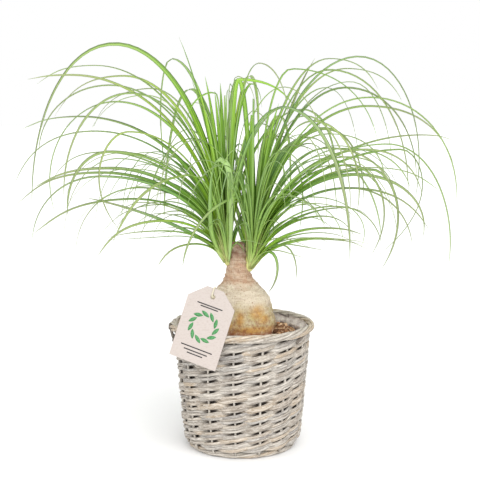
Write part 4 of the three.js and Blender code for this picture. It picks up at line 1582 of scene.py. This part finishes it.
    def _core(self, solids: Solids, head: Head) -> None:
        """Build the slim shoot that the leaves clasp."""
        line = through([(r, 0.0, z) for r, z in self.core], 30)
        turn = turns(60)
        radius, height = line[:, :1], line[:, 2:]
        r = radius * (1 + 0.09 * np.cos(9 * turn + height * 0.15) + 0.05 * np.cos(17 * turn))
        root, base = np.array(head.root), np.array(head.base)
        lean = (base - root) * [1, 1, 0] * eased(0, 14, height)[..., None]
        low, high = self.core[0][1], self.core[-1][1]
        share = 0.2 * (height - low) / (high - low)
        span = np.stack(np.broadcast_arrays(share, np.sin(9 * turn), 0.0), axis=-1)
        solids.add(root + lean + about_axis(r, turn, height), span=span, tone=0.5, pale=0.0, under=0.0)

    def build(self) -> None:
        """Build both heads."""
        leaves = [list(OUTLINE_LEAVES[head.side]) for head in self.heads]
        traces = [[self._trace(head, leaf) for leaf in own] for head, own in zip(self.heads, leaves)]
        self._fill(leaves, traces, self.per_head, seeded(self.seed), 1.0)
        self._fill(leaves, traces, self.per_head + self.fine_per_head, seeded(self.fine_seed), 0.5)
        finish = LeafFinish().material()
        for index, head in enumerate(self.heads):
            random = seeded(self.blade_seed + index)
            solids = Solids()
            self._core(solids, head)
            for number, leaf in enumerate(leaves[index]):
                in_front = leaf.towards_back() < self.thin_in_front
                thin = random() > head.strap_share or leaf.height < head.thin_below or in_front
                extra = number >= self.per_head
                if extra and in_front:
                    continue
                wisp = extra or thin and number >= len(OUTLINE_LEAVES[head.side])
                self._blade(solids, head, leaf, Form.WISP if wisp else leaf.form(), random)
            for leaf in INNER_LEAVES[head.side]:
                self._blade(solids, head, leaf, leaf.form(), random)
            side = head.side.value
            solids.settle(f"{side}_head", finish, "leaf", f"crown_{side}")


# ---- tag and cord ---------------------------------------------------------
@dataclass
class HangTag:
    """A card with clipped corners on a doubled cord, with a plain leaf pattern."""

    facing: float = 253.6
    reach: float = 71.4
    sideways: float = -16.4
    height: float = 133.7
    lean: float = 16.3
    tilt: float = 7.4
    card_height: float = 73.5
    hole_drop: float = 8.0
    thickness: float = 0.8
    cord: float = 1.4
    spacing: float = 2.2
    ply_turn: float = 1.7
    ink: float = 0.07
    wreath_leaves: int = 11
    wreath_radius: float = 12.6
    wreath_middle: Pair = (0.0, -30.0)
    wreath_slant: float = 58.0
    wreath_leaf: Pair = (9.6, 3.6)
    bars: tuple[Pair, ...] = ((-9.6, 26.0), (-11.8, 18.0), (-52.0, 32.0), (-55.4, 24.0), (-58.2, 16.0))
    bar_thick: float = 1.1

    def placed(self, local: np.ndarray) -> np.ndarray:
        """Move points from the card's own frame to the part's.

        Args:
            local: Points as (across, up, out of the face), from the cord hole.

        Returns:
            The points in the part's frame.
        """
        turn, lean, tilt = (math.radians(angle) for angle in (self.facing, self.lean, self.tilt))
        out, level = about_axis(1.0, np.array([turn, turn + TAU / 4]), 0.0)
        upright = np.array(UP)
        face = out * math.cos(tilt) + upright * math.sin(tilt)
        up = (upright * math.cos(tilt) - out * math.sin(tilt)) * math.cos(lean) + level * math.sin(lean)
        hole = out * self.reach + level * self.sideways + upright * self.height
        hole = hole + up * (self.card_height / 2 - self.hole_drop)
        return np.asarray(local, float) @ np.array([np.cross(up, face), up, face]) + hole

    def route(self) -> list[Point]:
        """List the cord's route in the card's frame, from the rim and back to it."""
        s = self.spacing / 2
        front = self.thickness + self.cord / 2 + 0.3
        back = -self.cord / 2 - 0.3
        top = self.hole_drop
        return [
            (0.3, -35.6, -5.6), (-0.2, -30, -4.4), (-0.8, -23, -3), (-s, -15, back - 1.2),
            (-s, -7, back - 0.7), (-s, 0, back - 0.4), (-s, 5.5, back - 0.2), (-s, top + 0.9, back + 0.3),
            (-s, top + 1.4, self.thickness / 2), (-s, top + 0.7, front - 0.2),
            (-s, 4, front + 0.2), (-s * 0.8, 0.9, front), (-s * 0.3, -0.3, self.thickness / 2),
            (s * 0.3, -0.5, back - 0.6), (s * 1.2, 1.2, back - 1.8), (s * 1.6, 5, back - 1.6),
            (s * 1.5, 0, back - 2.6), (s, -8, back - 2.6), (1.4, -16, -3.4), (1.9, -23, -3.4),
            (2.3, -30, -4.1), (2.7, -35, -5.3),
        ]

    @staticmethod
    def _carried(line: np.ndarray) -> tuple[np.ndarray, np.ndarray]:
        """Carry a pair of cross directions along a line without letting them spin.

        Args:
            line: Points of the line, which doesn't start along the X axis.

        Returns:
            Two directions at each point, square to the line and to each other.
        """
        forward = directions(line)
        side = [unit(np.cross(forward[0], (1.0, 0.0, 0.0)))]
        for ahead in forward[1:]:
            side.append(unit(side[-1] - ahead * np.dot(side[-1], ahead)))
        return np.array(side), np.cross(forward, side)

    def cord_piece(self) -> None:
        line = through(self.placed(self.route()), 260)
        side, up = self._carried(line)
        done = travelled(line)[:, None]
        groove = np.abs(np.cos(1.5 * (turns(14) - done * self.ply_turn)))
        x, y, _ = np.moveaxis(about_axis(self.cord / 2 * (0.84 + 0.16 * groove), turns(14), 0.0), -1, 0)
        rings = line[:, None] + x[..., None] * side[:, None] + y[..., None] * up[:, None]
        solids = Solids()
        solids.add(rings, grain=np.stack(np.broadcast_arrays(done, x, y), axis=-1), groove=groove)
        cord = solids.settle("tag_string", CottonFinish().material(), "cotton", "tag_cord")

    def _plate(self, solids: Solids, outline: np.ndarray) -> None:
        """Lay a thin shape of ink on the card's face."""
        levels = (self.thickness - 0.02, self.thickness + self.ink)
        rows = [np.column_stack([outline, np.full(len(outline), level)]) for level in levels]
        solids.add(np.stack([self.placed(row) for row in rows]))

    def _wreath_shape(self, turn: float) -> np.ndarray:
        """Outline the wreath's leaf at an angle."""
        length, width = self.wreath_leaf
        t = np.linspace(0, 1, 12)
        half = width / 2 * np.sin(math.pi * t) ** 0.8
        reach = np.concatenate([t, t[-2:0:-1]]) - 0.5
        both_halves = np.concatenate([half, -half[-2:0:-1]])
        x, y = spun(length * reach, both_halves, turn + math.radians(self.wreath_slant))
        middle = np.array(self.wreath_middle) + about_axis(self.wreath_radius, turn, 0.0)[:2]
        return np.stack([x, y], axis=1) + middle

    def print_pieces(self) -> None:
        """Print a wreath of small leaves with bars above and below it."""
        leaves, bars = Solids(), Solids()
        for turn in turns(self.wreath_leaves):
            self._plate(leaves, self._wreath_shape(turn))
        green = InkFinish("green_ink", srgb(70, 146, 84), srgb(150, 200, 150)).material()
        leaves.settle("tag_leaf_print", green, "card")
        for y, length in self.bars:
            right, top = length / 2, y + self.bar_thick
            self._plate(bars, np.array([(-right, y), (right, y), (right, top), (-right, top)]))
        dark = InkFinish("charcoal_ink", srgb(62, 62, 62), srgb(110, 106, 104)).material()
        bars.settle("tag_bar_print", dark, "card")

    def card_finish(self) -> None:
        """Dress the card itself."""
        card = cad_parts["tag"]
        card.data.materials.clear()
        card.data.materials.append(CardFinish().material())
        LOG.info("the card keeps its CAD mesh")


def main() -> None:
    """Build the studio and every piece of the part, in order."""
    logging.basicConfig(level=logging.INFO, format="%(message)s")
    studio = Studio()
    studio.camera()
    tag = HangTag()
    tag.cord_piece()
    studio.light()
    studio.floor()
    basket = Basket()
    basket.build()
    Lining().build(basket)
    SoilBed().build(basket)
    Trunk().build()
    Crowns().build()
    tag.card_finish()
    tag.print_pieces()


if __name__ == "__main__":
    main()
